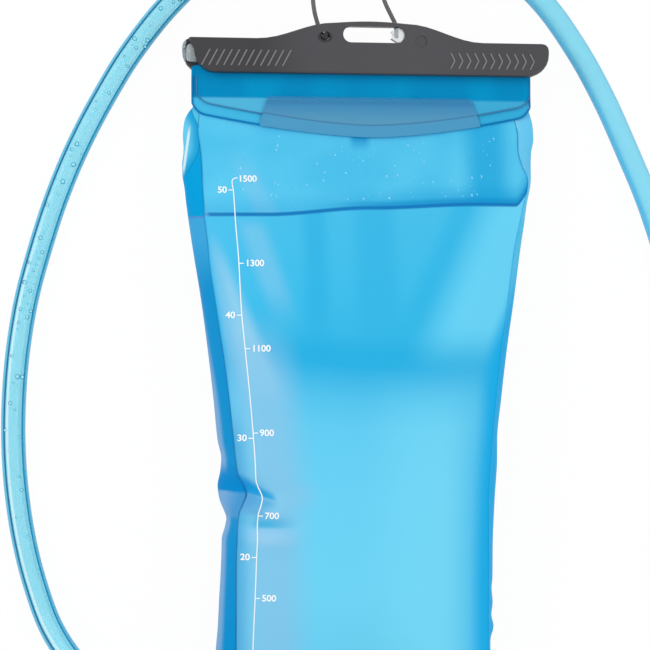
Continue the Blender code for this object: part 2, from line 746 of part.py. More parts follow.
def bar_outline():
    """Return the bar's front outline, from the lower left round by the hump."""
    left = -BAR_LENGTH / 2
    right = BAR_LENGTH / 2
    low = BAR_BOTTOM_Y
    top_left = BAR_TOP_LEFT_Y
    top_right = BAR_TOP_LEFT_Y - BAR_END_TAPER
    small = CORNER_TOP_RADIUS
    large = CORNER_LOW_RADIUS
    points = arc((left + large, low + large), large, 270, 180, 7)
    points += arc((left + small, top_left - small), small, 180, 90, 3)
    crown_left = HUMP_CENTRE_X - HUMP_TOP_WIDTH / 2
    crown_right = HUMP_CENTRE_X + HUMP_TOP_WIDTH / 2
    bow = 0.1 * HUMP_RISE
    peak = top_left + HUMP_RISE - bow
    steps = 8
    for k in range(steps + 1):
        share = (1 - math.cos(math.pi * k / steps)) / 2
        points.append((crown_left - HUMP_SHOULDER * (1 - k / steps), top_left + (peak - top_left) * share))
    for k in range(1, steps):
        points.append((crown_left + HUMP_TOP_WIDTH * k / steps, peak + bow * math.sin(math.pi * k / steps)))
    for k in range(steps + 1):
        share = (1 + math.cos(math.pi * k / steps)) / 2
        points.append((crown_right + HUMP_SHOULDER * k / steps, top_right + (peak - top_right) * share))
    points += arc((right - small, top_right - small), small, 90, 0, 3)
    points += arc((right - large, low + large), large, 0, -90, 7)
    return points


def channel_outline(cap):
    """Return the keyhole section of the channel in (y, z) about the rail, cut off level at cap."""
    half = math.degrees(math.asin(SLIT_HALF / CHANNEL_RADIUS))
    slit_end = -RAIL_RISE - CHANNEL_RADIUS
    if cap >= CHANNEL_RADIUS:
        crest = arc((0.0, 0.0), CHANNEL_RADIUS, 180 - half, -180 + half, 20)
    else:
        lid = math.degrees(math.acos(cap / CHANNEL_RADIUS))
        crest = arc((0.0, 0.0), CHANNEL_RADIUS, 180 - half, lid, 8)
        crest += arc((0.0, 0.0), CHANNEL_RADIUS, -lid, -180 + half, 8)
    return [(slit_end, SLIT_HALF)] + crest + [(slit_end, -SLIT_HALF)]


def channel_cutter(name, cap, start, end):
    """Return a cutter of the channel's section that runs along X from start to end."""
    mesh = prism_mesh(name, channel_outline(cap), end - start)
    for vert in mesh.vertices:
        along, up, out = vert.co.z, vert.co.x, vert.co.y
        vert.co = (along, up, out)
    return add_cutter(name, mesh, ((start + end) / 2, RAIL_Y, RAIL_HEIGHT))


def stadium(centre_x, centre_y, length, height):
    """Return a slot's outline with round ends."""
    radius = height / 2
    reach = length / 2 - radius
    return (arc((centre_x + reach, centre_y), radius, -90, 90, 8)
            + arc((centre_x - reach, centre_y), radius, 90, 270, 8))


def grip_mesh():
    """Return the grip ribs about the bar's front face: leaning slashes and chevrons that point right."""
    half = GRIP_HEIGHT / 2
    wide = RIB_WIDTH / 2
    outlines = []
    for k in range(SLASH_COUNT):
        x = SLASH_END_MARGIN - BAR_LENGTH / 2 + SLASH_PITCH * k
        low = x - SLASH_LEAN / 2
        high = x + SLASH_LEAN / 2
        outlines.append([(low - wide, -half), (low + wide, -half), (high + wide, half), (high - wide, half)])
    for k in range(CHEVRON_COUNT):
        x = BAR_LENGTH / 2 - CHEVRON_END_MARGIN + CHEVRON_PITCH * k
        tip = x + CHEVRON_POINT
        outlines.append([(x - wide, -half), (x + wide, -half), (tip + wide, 0.0), (x + wide, half),
                         (x - wide, half), (tip - wide, 0.0)])
    bm = bmesh.new()
    for outline in outlines:
        rib = prism_mesh("rib", outline, 2 * RIB_RISE)
        bm.from_mesh(rib)
        bpy.data.meshes.remove(rib)
    return mesh_from("grip_ribs", bm)


def build_slide_bar():
    """Make the slide bar: hump plate, channel for the folded mouth, handle slot and cord hole."""
    left = -BAR_LENGTH / 2
    right = BAR_LENGTH / 2
    bar = add_part("slide_bar", prism_mesh("slide_bar", bar_outline(), BAR_THICKNESS, BAR_EDGE_ROUND),
                   GREY_PLASTIC, (0.0, 0.0, RAIL_HEIGHT))
    over = BAR_THICKNESS
    combine(bar, channel_cutter("channel", 2 * CHANNEL_RADIUS, left + STOP_LIP, right + over))
    combine(bar, channel_cutter("channel_mouth", 0.5 * CHANNEL_RADIUS, left - over, left + 2 * STOP_LIP))
    relief_depth = BAR_THICKNESS - HUMP_PLATE
    relief_low = BAR_TOP_LEFT_Y + 0.5 * GAP
    relief_size = (BAR_LENGTH, 2 * HUMP_RISE, relief_depth + over)
    relief = add_cutter("hump_relief", box_mesh("hump_relief", relief_size),
                        (0.0, relief_low + HUMP_RISE, BAR_FRONT_Z - HUMP_PLATE - (relief_depth + over) / 2))
    combine(bar, relief)
    cut_low = FRONT_CUTAWAY + CORNER_LOW_RADIUS
    bend = CORNER_LOW_RADIUS
    edge = [(left - over, BAR_BOTTOM_Y - over), (left + cut_low, BAR_BOTTOM_Y - over)]
    edge += arc((left + FRONT_CUTAWAY + bend, BAR_BOTTOM_Y + bend), bend, 270, 180, 7)
    edge += [(left + 0.45 * FRONT_CUTAWAY, BAR_TOP_LEFT_Y + GAP), (left - over, BAR_TOP_LEFT_Y + GAP)]
    front_half = BAR_THICKNESS / 2 + RAIL_RADIUS / 2
    cutaway = add_cutter("front_cutaway", prism_mesh("front_cutaway", edge, 2 * front_half),
                         (0.0, 0.0, RAIL_HEIGHT - RAIL_RADIUS / 2 + front_half))
    combine(bar, cutaway)
    slot_y = BAR_BOTTOM_Y + SLOT_RISE + SLOT_HEIGHT / 2
    slot_outline = stadium(SLOT_CENTRE_X, slot_y, SLOT_LENGTH, SLOT_HEIGHT)
    slot = add_cutter("handle_slot", prism_mesh("handle_slot", slot_outline, 2 * over),
                      (0.0, 0.0, BAR_FRONT_Z))
    combine(bar, slot)
    hole_y = BAR_BOTTOM_Y + CORD_HOLE_RISE
    hole = add_cutter("cord_hole", cylinder_mesh("cord_hole", CORD_HOLE_RADIUS, 2 * over, SMALL_STEPS),
                      (CORD_HOLE_X, hole_y, BAR_FRONT_Z))
    combine(bar, hole)
    recess = add_cutter("blind_recess", cylinder_mesh("blind_recess", RECESS_RADIUS, 2 * RECESS_DEPTH),
                        (RECESS_X, BAR_BOTTOM_Y + RECESS_RISE, BAR_FRONT_Z))
    combine(bar, recess)
    ribs = add_cutter("grip_ribs", grip_mesh(), (0.0, BAR_BOTTOM_Y + GRIP_MIDDLE_RISE, BAR_FRONT_Z))
    combine(bar, ribs, "UNION")
    plate_middle = BAR_FRONT_Z - HUMP_PLATE / 2
    build_hang_cord(slot_y, hole_y, plate_middle)


def build_hang_cord(slot_y, hole_y, plate_middle):
    """Make the hang cord, its knot in the hole and the clear anchor in the slot's right end."""
    route = [(x, BAR_BOTTOM_Y + rise, BAR_FRONT_Z + out) for x, rise, out in CORD_ROUTE]
    cord = wire_curve("hang_cord", smooth_route(route, 5 * CORD_RADIUS), CORD_RADIUS, 2)
    cord.parent = ROOT
    cord.data.materials.append(GREY_CORD)
    PARTS.objects.link(cord)
    bm = bmesh.new()
    bmesh.ops.create_uvsphere(bm, u_segments=SMALL_STEPS, v_segments=8, radius=KNOT_RADIUS)
    add_part("cord_knot", mesh_from("cord_knot", bm), GREY_CORD, (CORD_HOLE_X, hole_y, plate_middle))
    radius = SLOT_HEIGHT / 2 - GAP
    middle_x = SLOT_CENTRE_X + SLOT_LENGTH / 2 - SLOT_HEIGHT / 2
    outline = arc((middle_x, slot_y), radius, -90, 90, 8)
    outline += arc((middle_x - 1.1 * radius, slot_y), 0.55 * radius, 60, -60, 4)
    add_part("cord_anchor", prism_mesh("cord_anchor", outline, HUMP_PLATE - 2 * GAP, GAP),
             CLEAR_PLASTIC, (0.0, 0.0, plate_middle))


# Port

def port_place(height=0.0):
    """Return a place on the port's axis at a height above the film's crown."""
    return (PORT_X, PORT_Y, CROWN_Z + height)


def helix(radius, low, high, turns):
    """Return points of a coil about Z."""
    per_turn = 9
    count = round(turns * per_turn)
    return [(radius * math.cos(2 * math.pi * k / per_turn), radius * math.sin(2 * math.pi * k / per_turn),
             low + (high - low) * k / count) for k in range(count + 1)]


def build_port():
    """Make the welded flange, the socket with its valve seat and button boss, and the retainer."""
    flange = ring_profile(SOCKET_RADIUS + GAP, FLANGE_RADIUS, GAP, GAP + FLANGE_THICKNESS)
    add_part("port_flange", turned_mesh("port_flange", flange), CLEAR_PLASTIC, port_place())
    seat_low = SEAT_TOP - SEAT_THICKNESS
    profile = [(SOCKET_RADIUS, SOCKET_RISE), (SOCKET_RADIUS, -SOCKET_DROP), (SOCKET_BORE, -SOCKET_DROP),
               (SOCKET_BORE, seat_low), (SEAT_RADIUS, seat_low), (SEAT_RADIUS, SEAT_TOP),
               (SOCKET_BORE, SEAT_TOP), (SOCKET_BORE, SOCKET_RISE)]
    socket = add_part("port_socket", turned_mesh("port_socket", profile), GREY_PLASTIC, port_place())
    boss_start = (SOCKET_BORE + SOCKET_RADIUS) / 2
    boss_length = BUTTON_BOSS_REACH - boss_start
    facing = (math.pi / 2, 0.0, 0.0)
    boss_place = (PORT_X, PORT_Y - boss_start - boss_length / 2, CROWN_Z + BUTTON_RISE)
    combine(socket, add_cutter("button_boss", cylinder_mesh("button_boss", BUTTON_BOSS_RADIUS, boss_length),
                               boss_place, facing), "UNION")
    bore_start = SOCKET_RADIUS + GAP
    bore_length = BUTTON_BOSS_REACH - bore_start
    bore_place = (PORT_X, PORT_Y - bore_start - bore_length, CROWN_Z + BUTTON_RISE)
    bore_mesh = cylinder_mesh("button_bore", BUTTON_RADIUS + GAP, 2 * bore_length)
    combine(socket, add_cutter("button_bore", bore_mesh, bore_place, facing))
    low = -SOCKET_DROP + GAP
    ring = ring_profile(RETAINER_HOLE, SOCKET_BORE - GAP, low, low + RETAINER_THICKNESS)
    add_part("port_retainer", turned_mesh("port_retainer", ring), GREY_PLASTIC, port_place())
    build_poppet(low + RETAINER_THICKNESS)
    build_button(bore_start, facing)


def build_poppet(spring_foot):
    """Make the poppet held open by the plug, its seal and its spring."""
    disc_low = POPPET_DISC_TOP - POPPET_THICKNESS
    profile = [(0.0, POPPET_TOP), (POPPET_STEM, POPPET_TOP), (POPPET_STEM, POPPET_DISC_TOP),
               (POPPET_RADIUS, POPPET_DISC_TOP), (POPPET_RADIUS, disc_low), (0.0, disc_low)]
    add_part("poppet", turned_mesh("poppet", profile, closed=False), GREY_PLASTIC, port_place())
    seal_radius = (SEAT_RADIUS + POPPET_RADIUS) / 2
    add_part("poppet_seal", torus_mesh("poppet_seal", seal_radius, SEAL_SECTION), BLACK_RUBBER,
             port_place(POPPET_DISC_TOP + SEAL_SECTION + 0.5 * GAP))
    low = spring_foot + SPRING_WIRE + GAP
    high = disc_low - SPRING_WIRE - GAP
    points = helix(POPPET_SPRING_RADIUS, low, high, 3.5)
    add_part("poppet_spring", wire_mesh("poppet_spring", points, SPRING_WIRE, 1), STEEL, port_place())


def build_button(bore_start, facing):
    """Make the release button in its boss, with the spring behind it."""
    spring_foot = bore_start + SPRING_WIRE + GAP
    spring_head = bore_start + BUTTON_SPRING_LENGTH - SPRING_WIRE - GAP
    axis_place = (PORT_X, PORT_Y, CROWN_Z + BUTTON_RISE)
    points = helix(BUTTON_SPRING_RADIUS, spring_foot, spring_head, 2.5)
    add_part("button_spring", wire_mesh("button_spring", points, SPRING_WIRE, 1), STEEL, axis_place, facing)
    back = bore_start + BUTTON_SPRING_LENGTH
    front = back + BUTTON_LENGTH
    dish = 0.15 * BUTTON_RADIUS
    profile = [(0.0, front - dish), (0.6 * BUTTON_RADIUS, front - 0.5 * dish), (0.85 * BUTTON_RADIUS, front),
               (BUTTON_RADIUS, front - dish), (BUTTON_RADIUS, back), (0.0, back)]
    add_part("release_button", turned_mesh("release_button", profile, closed=False), BLUE_SILICONE,
             axis_place, facing)


# Drink line

def build_plug():
    """Make the plug elbow with its nose, push bar and barb, and the O-ring on its nose."""
    head_low = SOCKET_RISE + GAP
    head_top = SOCKET_RISE + PLUG_HEAD_HEIGHT
    groove_middle = (SEAT_TOP + SOCKET_RISE) / 2
    groove_half = SEAL_SECTION + GAP
    groove_radius = PLUG_RADIUS - 2 * SEAL_SECTION
    roof = head_top - 0.4 * PLUG_HEAD_HEIGHT
    edge = 0.25 * PLUG_HEAD_RADIUS
    profile = [(0.0, head_top), (PLUG_HEAD_RADIUS - 1.6 * edge, head_top),
               (PLUG_HEAD_RADIUS - 0.4 * edge, head_top - 0.5 * edge),
               (PLUG_HEAD_RADIUS, head_top - 1.5 * edge), (PLUG_HEAD_RADIUS, head_low),
               (PLUG_RADIUS, head_low), (PLUG_RADIUS, groove_middle + groove_half),
               (groove_radius, groove_middle + groove_half), (groove_radius, groove_middle - groove_half),
               (PLUG_RADIUS, groove_middle - groove_half), (PLUG_RADIUS, PLUG_FOOT),
               (PLUG_BORE, PLUG_FOOT), (PLUG_BORE, roof), (0.0, roof)]
    body = turned_mesh("plug_elbow", profile, closed=False)
    elbow = add_part("plug_elbow", body, GREY_PLASTIC, port_place())
    bar_height = 0.25 * PLUG_BORE
    bar_size = (2 * PLUG_BORE + GAP, PUSH_BAR_WIDTH, bar_height)
    push_bar = add_cutter("push_bar", box_mesh("push_bar", bar_size),
                          port_place(PLUG_FOOT + 0.5 * GAP + bar_height / 2))
    combine(elbow, push_bar, "UNION")
    tip = BARB_COLLAR_REACH + BARB_LENGTH
    ridge = 0.5 * (BARB_RADIUS - BARB_BORE)
    foot = (PLUG_BORE + PLUG_HEAD_RADIUS) / 2
    barb = [(0.0, tip), (BARB_RADIUS - ridge, tip), (BARB_RADIUS, tip - 4 * ridge),
            (BARB_RADIUS, BARB_COLLAR_REACH), (BARB_COLLAR_RADIUS, BARB_COLLAR_REACH),
            (BARB_COLLAR_RADIUS, foot), (0.0, foot)]
    facing = (0.0, -math.pi / 2, 0.0)
    barb_mesh = turned_mesh("barb", barb, SMALL_STEPS, closed=False)
    combine(elbow, add_cutter("barb", barb_mesh, port_place(BARB_Z), facing), "UNION")
    bore_length = tip + BARB_BORE
    bore = add_cutter("barb_bore", cylinder_mesh("barb_bore", BARB_BORE, bore_length, SMALL_STEPS),
                      (PORT_X - bore_length / 2, PORT_Y, CROWN_Z + BARB_Z), facing)
    combine(elbow, bore)
    seal_radius = groove_radius + GAP + SEAL_SECTION
    add_part("plug_seal", torus_mesh("plug_seal", seal_radius, SEAL_SECTION), BLACK_RUBBER,
             port_place(groove_middle))


def build_tube():
    """Make the drink tube along its route, open right through, as a lead that lifts with the plug
    and the long stretch that stays on the floor.
    """
    start = (PORT_X - BARB_COLLAR_REACH - GAP, PORT_Y, CROWN_Z + BARB_Z)
    run_out = (start[0] - TUBE_RUN_OUT, start[1], start[2])
    points = smooth_route((start, run_out) + TUBE_ROUTE, 5 * TUBE_RADIUS)
    before, after = points[TUBE_LEAD_STEPS - 1:TUBE_LEAD_STEPS + 1]
    middle = (before + after) / 2
    half_gap = GAP / 2 * (after - before).normalized()
    lead = points[:TUBE_LEAD_STEPS] + [middle - half_gap]
    rest = [middle + half_gap] + points[TUBE_LEAD_STEPS:]
    for name, stretch in (("drink_tube_lead", lead), ("drink_tube", rest)):
        tube = add_part(name, wire_mesh(name, stretch, TUBE_RADIUS, 3, caps=False), BLUE_TUBE)
        thicken(tube, TUBE_RADIUS - TUBE_BORE, -1.0)


def flatten_tip(mesh):
    """Press a turned sheath into an oval towards its tip."""
    for vert in mesh.vertices:
        past_stem = (vert.co.z - STEM_TIP_LENGTH - GAP) / (SHEATH_LENGTH - STEM_TIP_LENGTH - GAP)
        share = min(1.0, max(0.0, past_stem))
        blend = share * share * (3 - 2 * share)
        vert.co.y *= 1 + (SHEATH_TIP_FLATNESS - 1) * blend
        vert.co.x *= 1 + (SHEATH_TIP_SPREAD - 1) * blend


def build_valve():
    """Make the bite valve on the tube's end: stem, seal, twist collar and bite sheath."""
    end = TUBE_ROUTE[-1]
    facing = (math.pi / 2, 0.0, 0.0)
    shoulder = 2 * GAP + 2 * SEAL_SECTION
    body_end = shoulder + VALVE_BODY_LENGTH
    tip_radius = SHEATH_RADIUS - SHEATH_WALL - GAP
    tip_length = STEM_TIP_LENGTH
    ridge = 0.5 * (BARB_RADIUS - BARB_BORE)
    groove_low = body_end - COLLAR_LENGTH / 2 - SEAL_SECTION - GAP
    groove_high = groove_low + 2 * (SEAL_SECTION + GAP)
    groove_radius = VALVE_BODY_RADIUS - 2 * SEAL_SECTION
    flange = 2 * GAP + 4 * SEAL_SECTION
    flange_high = body_end - COLLAR_LENGTH - GAP
    flange_radius = COLLAR_RADIUS - FLUTE_RADIUS
    profile = [(tip_radius, body_end + tip_length), (tip_radius, body_end + GAP),
               (VALVE_BODY_RADIUS, body_end + GAP), (VALVE_BODY_RADIUS, groove_high),
               (groove_radius, groove_high), (groove_radius, groove_low), (VALVE_BODY_RADIUS, groove_low),
               (VALVE_BODY_RADIUS, flange_high), (flange_radius, flange_high),
               (flange_radius, flange_high - flange), (TUBE_RADIUS, GAP), (BARB_RADIUS, GAP),
               (BARB_RADIUS, -BARB_LENGTH + 4 * ridge), (BARB_RADIUS - ridge, -BARB_LENGTH),
               (BARB_BORE, -BARB_LENGTH), (BARB_BORE, body_end + tip_length)]
    add_part("valve_stem", turned_mesh("valve_stem", profile), GREY_PLASTIC, end, facing)
    seal_place = (end[0], end[1] - (groove_low + groove_high) / 2, end[2])
    add_part("stem_seal", torus_mesh("stem_seal", groove_radius + GAP + SEAL_SECTION, SEAL_SECTION),
             BLACK_RUBBER, seal_place, facing)
    rim = 0.5 * FLUTE_RADIUS
    collar_inner = groove_radius + 2 * GAP + 2 * SEAL_SECTION
    collar_low = body_end - COLLAR_LENGTH
    collar = [(COLLAR_RADIUS - rim, body_end), (COLLAR_RADIUS, body_end - rim),
              (COLLAR_RADIUS, collar_low + rim), (COLLAR_RADIUS - rim, collar_low),
              (collar_inner, collar_low), (collar_inner, body_end)]
    part = add_part("shutoff_collar", turned_mesh("shutoff_collar", collar), GREY_PLASTIC, end, facing)
    for k in range(COLLAR_FLUTES):
        angle = 2 * math.pi * (k + 0.5) / COLLAR_FLUTES
        reach = COLLAR_RADIUS + 0.3 * FLUTE_RADIUS
        middle = end[1] - (collar_low + body_end) / 2
        place = (end[0] + reach * math.cos(angle), middle, end[2] + reach * math.sin(angle))
        flute = add_cutter(f"flute_{k}", cylinder_mesh(f"flute_{k}", FLUTE_RADIUS, 2 * COLLAR_LENGTH, 8),
                           place, facing)
        combine(part, flute)
    build_sheath((end[0], end[1] - body_end, end[2]), facing)


def build_sheath(place, facing):
    """Make the soft bite sheath that slips over the stem's tip, with its slit."""
    inner = SHEATH_RADIUS - SHEATH_WALL
    seat = STEM_TIP_LENGTH + GAP
    waist_z = 0.62 * SHEATH_LENGTH
    lip_z = 0.84 * SHEATH_LENGTH
    bore = 0.55 * SHEATH_RADIUS
    profile = [(0.0, SHEATH_LENGTH), (0.55 * SHEATH_RADIUS, 0.95 * SHEATH_LENGTH),
               (0.85 * SHEATH_RADIUS, lip_z), (0.80 * SHEATH_RADIUS, waist_z), (SHEATH_RADIUS, seat),
               (SHEATH_RADIUS, 2 * GAP), (inner, 2 * GAP), (inner, seat), (bore, waist_z), (bore, lip_z),
               (0.0, 0.87 * SHEATH_LENGTH)]
    mesh = turned_mesh("bite_sheath", profile, closed=False)
    flatten_tip(mesh)
    part = add_part("bite_sheath", mesh, BLUE_SILICONE, place, facing)
    slit_size = (SHEATH_SLIT_LENGTH, 0.4 * SHEATH_LENGTH, SHEATH_SLIT_WIDTH)
    slit = add_cutter("bite_slit", box_mesh("bite_slit", slit_size),
                      (place[0], place[1] - SHEATH_LENGTH, place[2]))
    combine(part, slit)


def main():
    """Build every part of the bladder."""
    build_panels()
    build_gussets()
    build_water()
    build_mouth()
    build_slide_bar()
    build_port()
    build_plug()
    build_tube()
    build_valve()


main()
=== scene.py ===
"""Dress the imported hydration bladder: films, water, printed scale, tube, cord, bar, port and studio.

Metres, +Z up, in the frame of the solids. The filled bag lies on its back, its closure towards +Y.
Shaders and print read places on the bag in millimetres.
"""
import logging
import math
import random
from dataclasses import dataclass
from enum import Enum
from functools import lru_cache
from typing import Callable, Mapping, Optional, Sequence, Union

import bmesh
import bpy
from mathutils import Matrix, Vector


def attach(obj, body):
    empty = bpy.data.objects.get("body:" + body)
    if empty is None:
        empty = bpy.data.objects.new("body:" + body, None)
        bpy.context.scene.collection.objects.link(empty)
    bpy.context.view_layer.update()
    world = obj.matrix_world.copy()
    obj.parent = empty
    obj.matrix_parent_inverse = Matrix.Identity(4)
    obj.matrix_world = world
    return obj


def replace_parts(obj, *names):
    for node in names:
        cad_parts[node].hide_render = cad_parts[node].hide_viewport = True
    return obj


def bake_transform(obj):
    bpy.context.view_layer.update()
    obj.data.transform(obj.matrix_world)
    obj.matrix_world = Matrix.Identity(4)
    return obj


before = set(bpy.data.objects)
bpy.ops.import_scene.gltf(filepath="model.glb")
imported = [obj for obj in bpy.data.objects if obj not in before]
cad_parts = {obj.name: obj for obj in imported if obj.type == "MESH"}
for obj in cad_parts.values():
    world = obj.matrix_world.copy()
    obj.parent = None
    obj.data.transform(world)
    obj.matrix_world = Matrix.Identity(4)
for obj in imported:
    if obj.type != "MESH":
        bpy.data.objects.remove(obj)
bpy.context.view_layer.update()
LOG = logging.getLogger("bladder")

MM = 0.001
FILM = 0.4 * MM
CLEAR = 0.3 * MM
GRAIN_DEPTH = 0.2 * MM
FILM_GRAIN = 1500.0
BEAD_SIDES = 8
GLOSS_SHARE = 0.012
SATIN_SHARE = 0.02
FILM_GLOSS = 0.15
SHARP_ANGLE = math.radians(40)
WHITE = (1.0, 1.0, 1.0, 1.0)
WATER_LEVEL = 98.5
WATER_STEPS = ((-47.0, 0.0, 3.2), (0.0, 50.0, 2.0), (66.5, 77.0, 11.0))

Place = Callable[[float, float], Sequence[float]]
Colour = tuple[float, float, float, float]


class Body(Enum):
    """The moving bodies that pieces ride on."""

    BAG = "bag"
    BAR = "slide_bar"
    PLUG = "plug"
    PLUNGER = "poppet"
    BUTTON = "button"


class Side(Enum):
    """The two sides of the bag, by the sign of X."""

    LEFT = -1
    RIGHT = 1


def tint(code: str, gloss: float = 0.0) -> Colour:
    """Turn a hex colour code into linear light.

    Args:
        code: Colour as "#rrggbb", as it should look.
        gloss: Share of white that the surface's gloss adds on top.

    Returns:
        Red, green, blue and an alpha of 1.
    """
    values = [int(code[k:k + 2], 16) / 255 for k in (1, 3, 5)]
    linear = [v / 12.92 if v <= 0.04045 else ((v + 0.055) / 1.055) ** 2.4 for v in values]
    red, green, blue = [max(0.0, (v - gloss) / (1 - gloss)) for v in linear]
    return red, green, blue, 1.0


def look(code: str) -> Colour:
    """Return a film's colour as it looks under its gloss."""
    return tint(code, GLOSS_SHARE)


def satin(code: str) -> Colour:
    """Return a moulding's colour as it looks under its sheen."""
    return tint(code, SATIN_SHARE)


def ease(low: float, high: float, value: float) -> float:
    """Return 0 below low, 1 above high and a smooth rise between; low may be the larger."""
    share = min(1.0, max(0.0, (value - low) / (high - low)))
    return share * share * (3 - 2 * share)


def hill(value: float, middle: float, width: float) -> float:
    """Return a bell of height 1 about a middle."""
    return math.exp(-((value - middle) / width) ** 2)


def along(rows: Sequence[Sequence[float]], column: int, at: float) -> float:
    """Read a table by a smooth curve that never overshoots.

    Args:
        rows: Rows whose first value rises from row to row.
        column: Index of the value to read.
        at: Place in the first column.

    Returns:
        The value at that place.
    """
    at = min(max(at, rows[0][0]), rows[-1][0])
    index = max(i for i, row in enumerate(rows[:-1]) if row[0] <= at)

    def slope(i: int) -> float:
        """Work out the curve's slope at a row, level where the values turn.

        Args:
            i: Index of the row.

        Returns:
            The slope there.
        """
        if i in (0, len(rows) - 1):
            return 0.0
        low = (rows[i][column] - rows[i - 1][column]) / (rows[i][0] - rows[i - 1][0])
        high = (rows[i + 1][column] - rows[i][column]) / (rows[i + 1][0] - rows[i][0])
        return 2 * low * high / (low + high) if low * high > 0 else 0.0

    span = rows[index + 1][0] - rows[index][0]
    rise = rows[index + 1][column] - rows[index][column]
    t = (at - rows[index][0]) / span
    a = slope(index) * span
    b = slope(index + 1) * span
    return rows[index][column] + a * t + (3 * rise - 2 * a - b) * t ** 2 + (a + b - 2 * rise) * t ** 3


def smooth_route(knots: Sequence[Sequence[float]], step: float) -> list[Vector]:
    """Run a smooth curve through points.

    Args:
        knots: Points that the curve passes.
        step: Wanted distance between the points returned.

    Returns:
        Points about one step apart, both ends included.
    """
    points = [Vector(p) for p in knots]
    ends = [2 * points[0] - points[1]] + points + [2 * points[-1] - points[-2]]
    fine = []
    parts = 24
    for a, b, c, d in zip(ends, ends[1:], ends[2:], ends[3:]):
        for k in range(parts):
            t = k / parts
            fine.append(0.5 * (2 * b + (c - a) * t + (2 * a - 5 * b + 4 * c - d) * t ** 2
                               + (3 * b - a - 3 * c + d) * t ** 3))
    fine.append(points[-1])
    lengths = [0.0]
    for a, b in zip(fine, fine[1:]):
        lengths.append(lengths[-1] + (b - a).length)
    count = max(2, round(lengths[-1] / step))
    route = []
    index = 0
    for k in range(count + 1):
        want = lengths[-1] * k / count
        while index < len(fine) - 2 and lengths[index + 1] < want:
            index += 1
        share = (want - lengths[index]) / (lengths[index + 1] - lengths[index])
        route.append(fine[index].lerp(fine[index + 1], min(1.0, share)))
    return route


def route_length(route: Sequence[Vector]) -> float:
    """Return the length along a route's points."""
    return sum((b - a).length for a, b in zip(route, route[1:]))


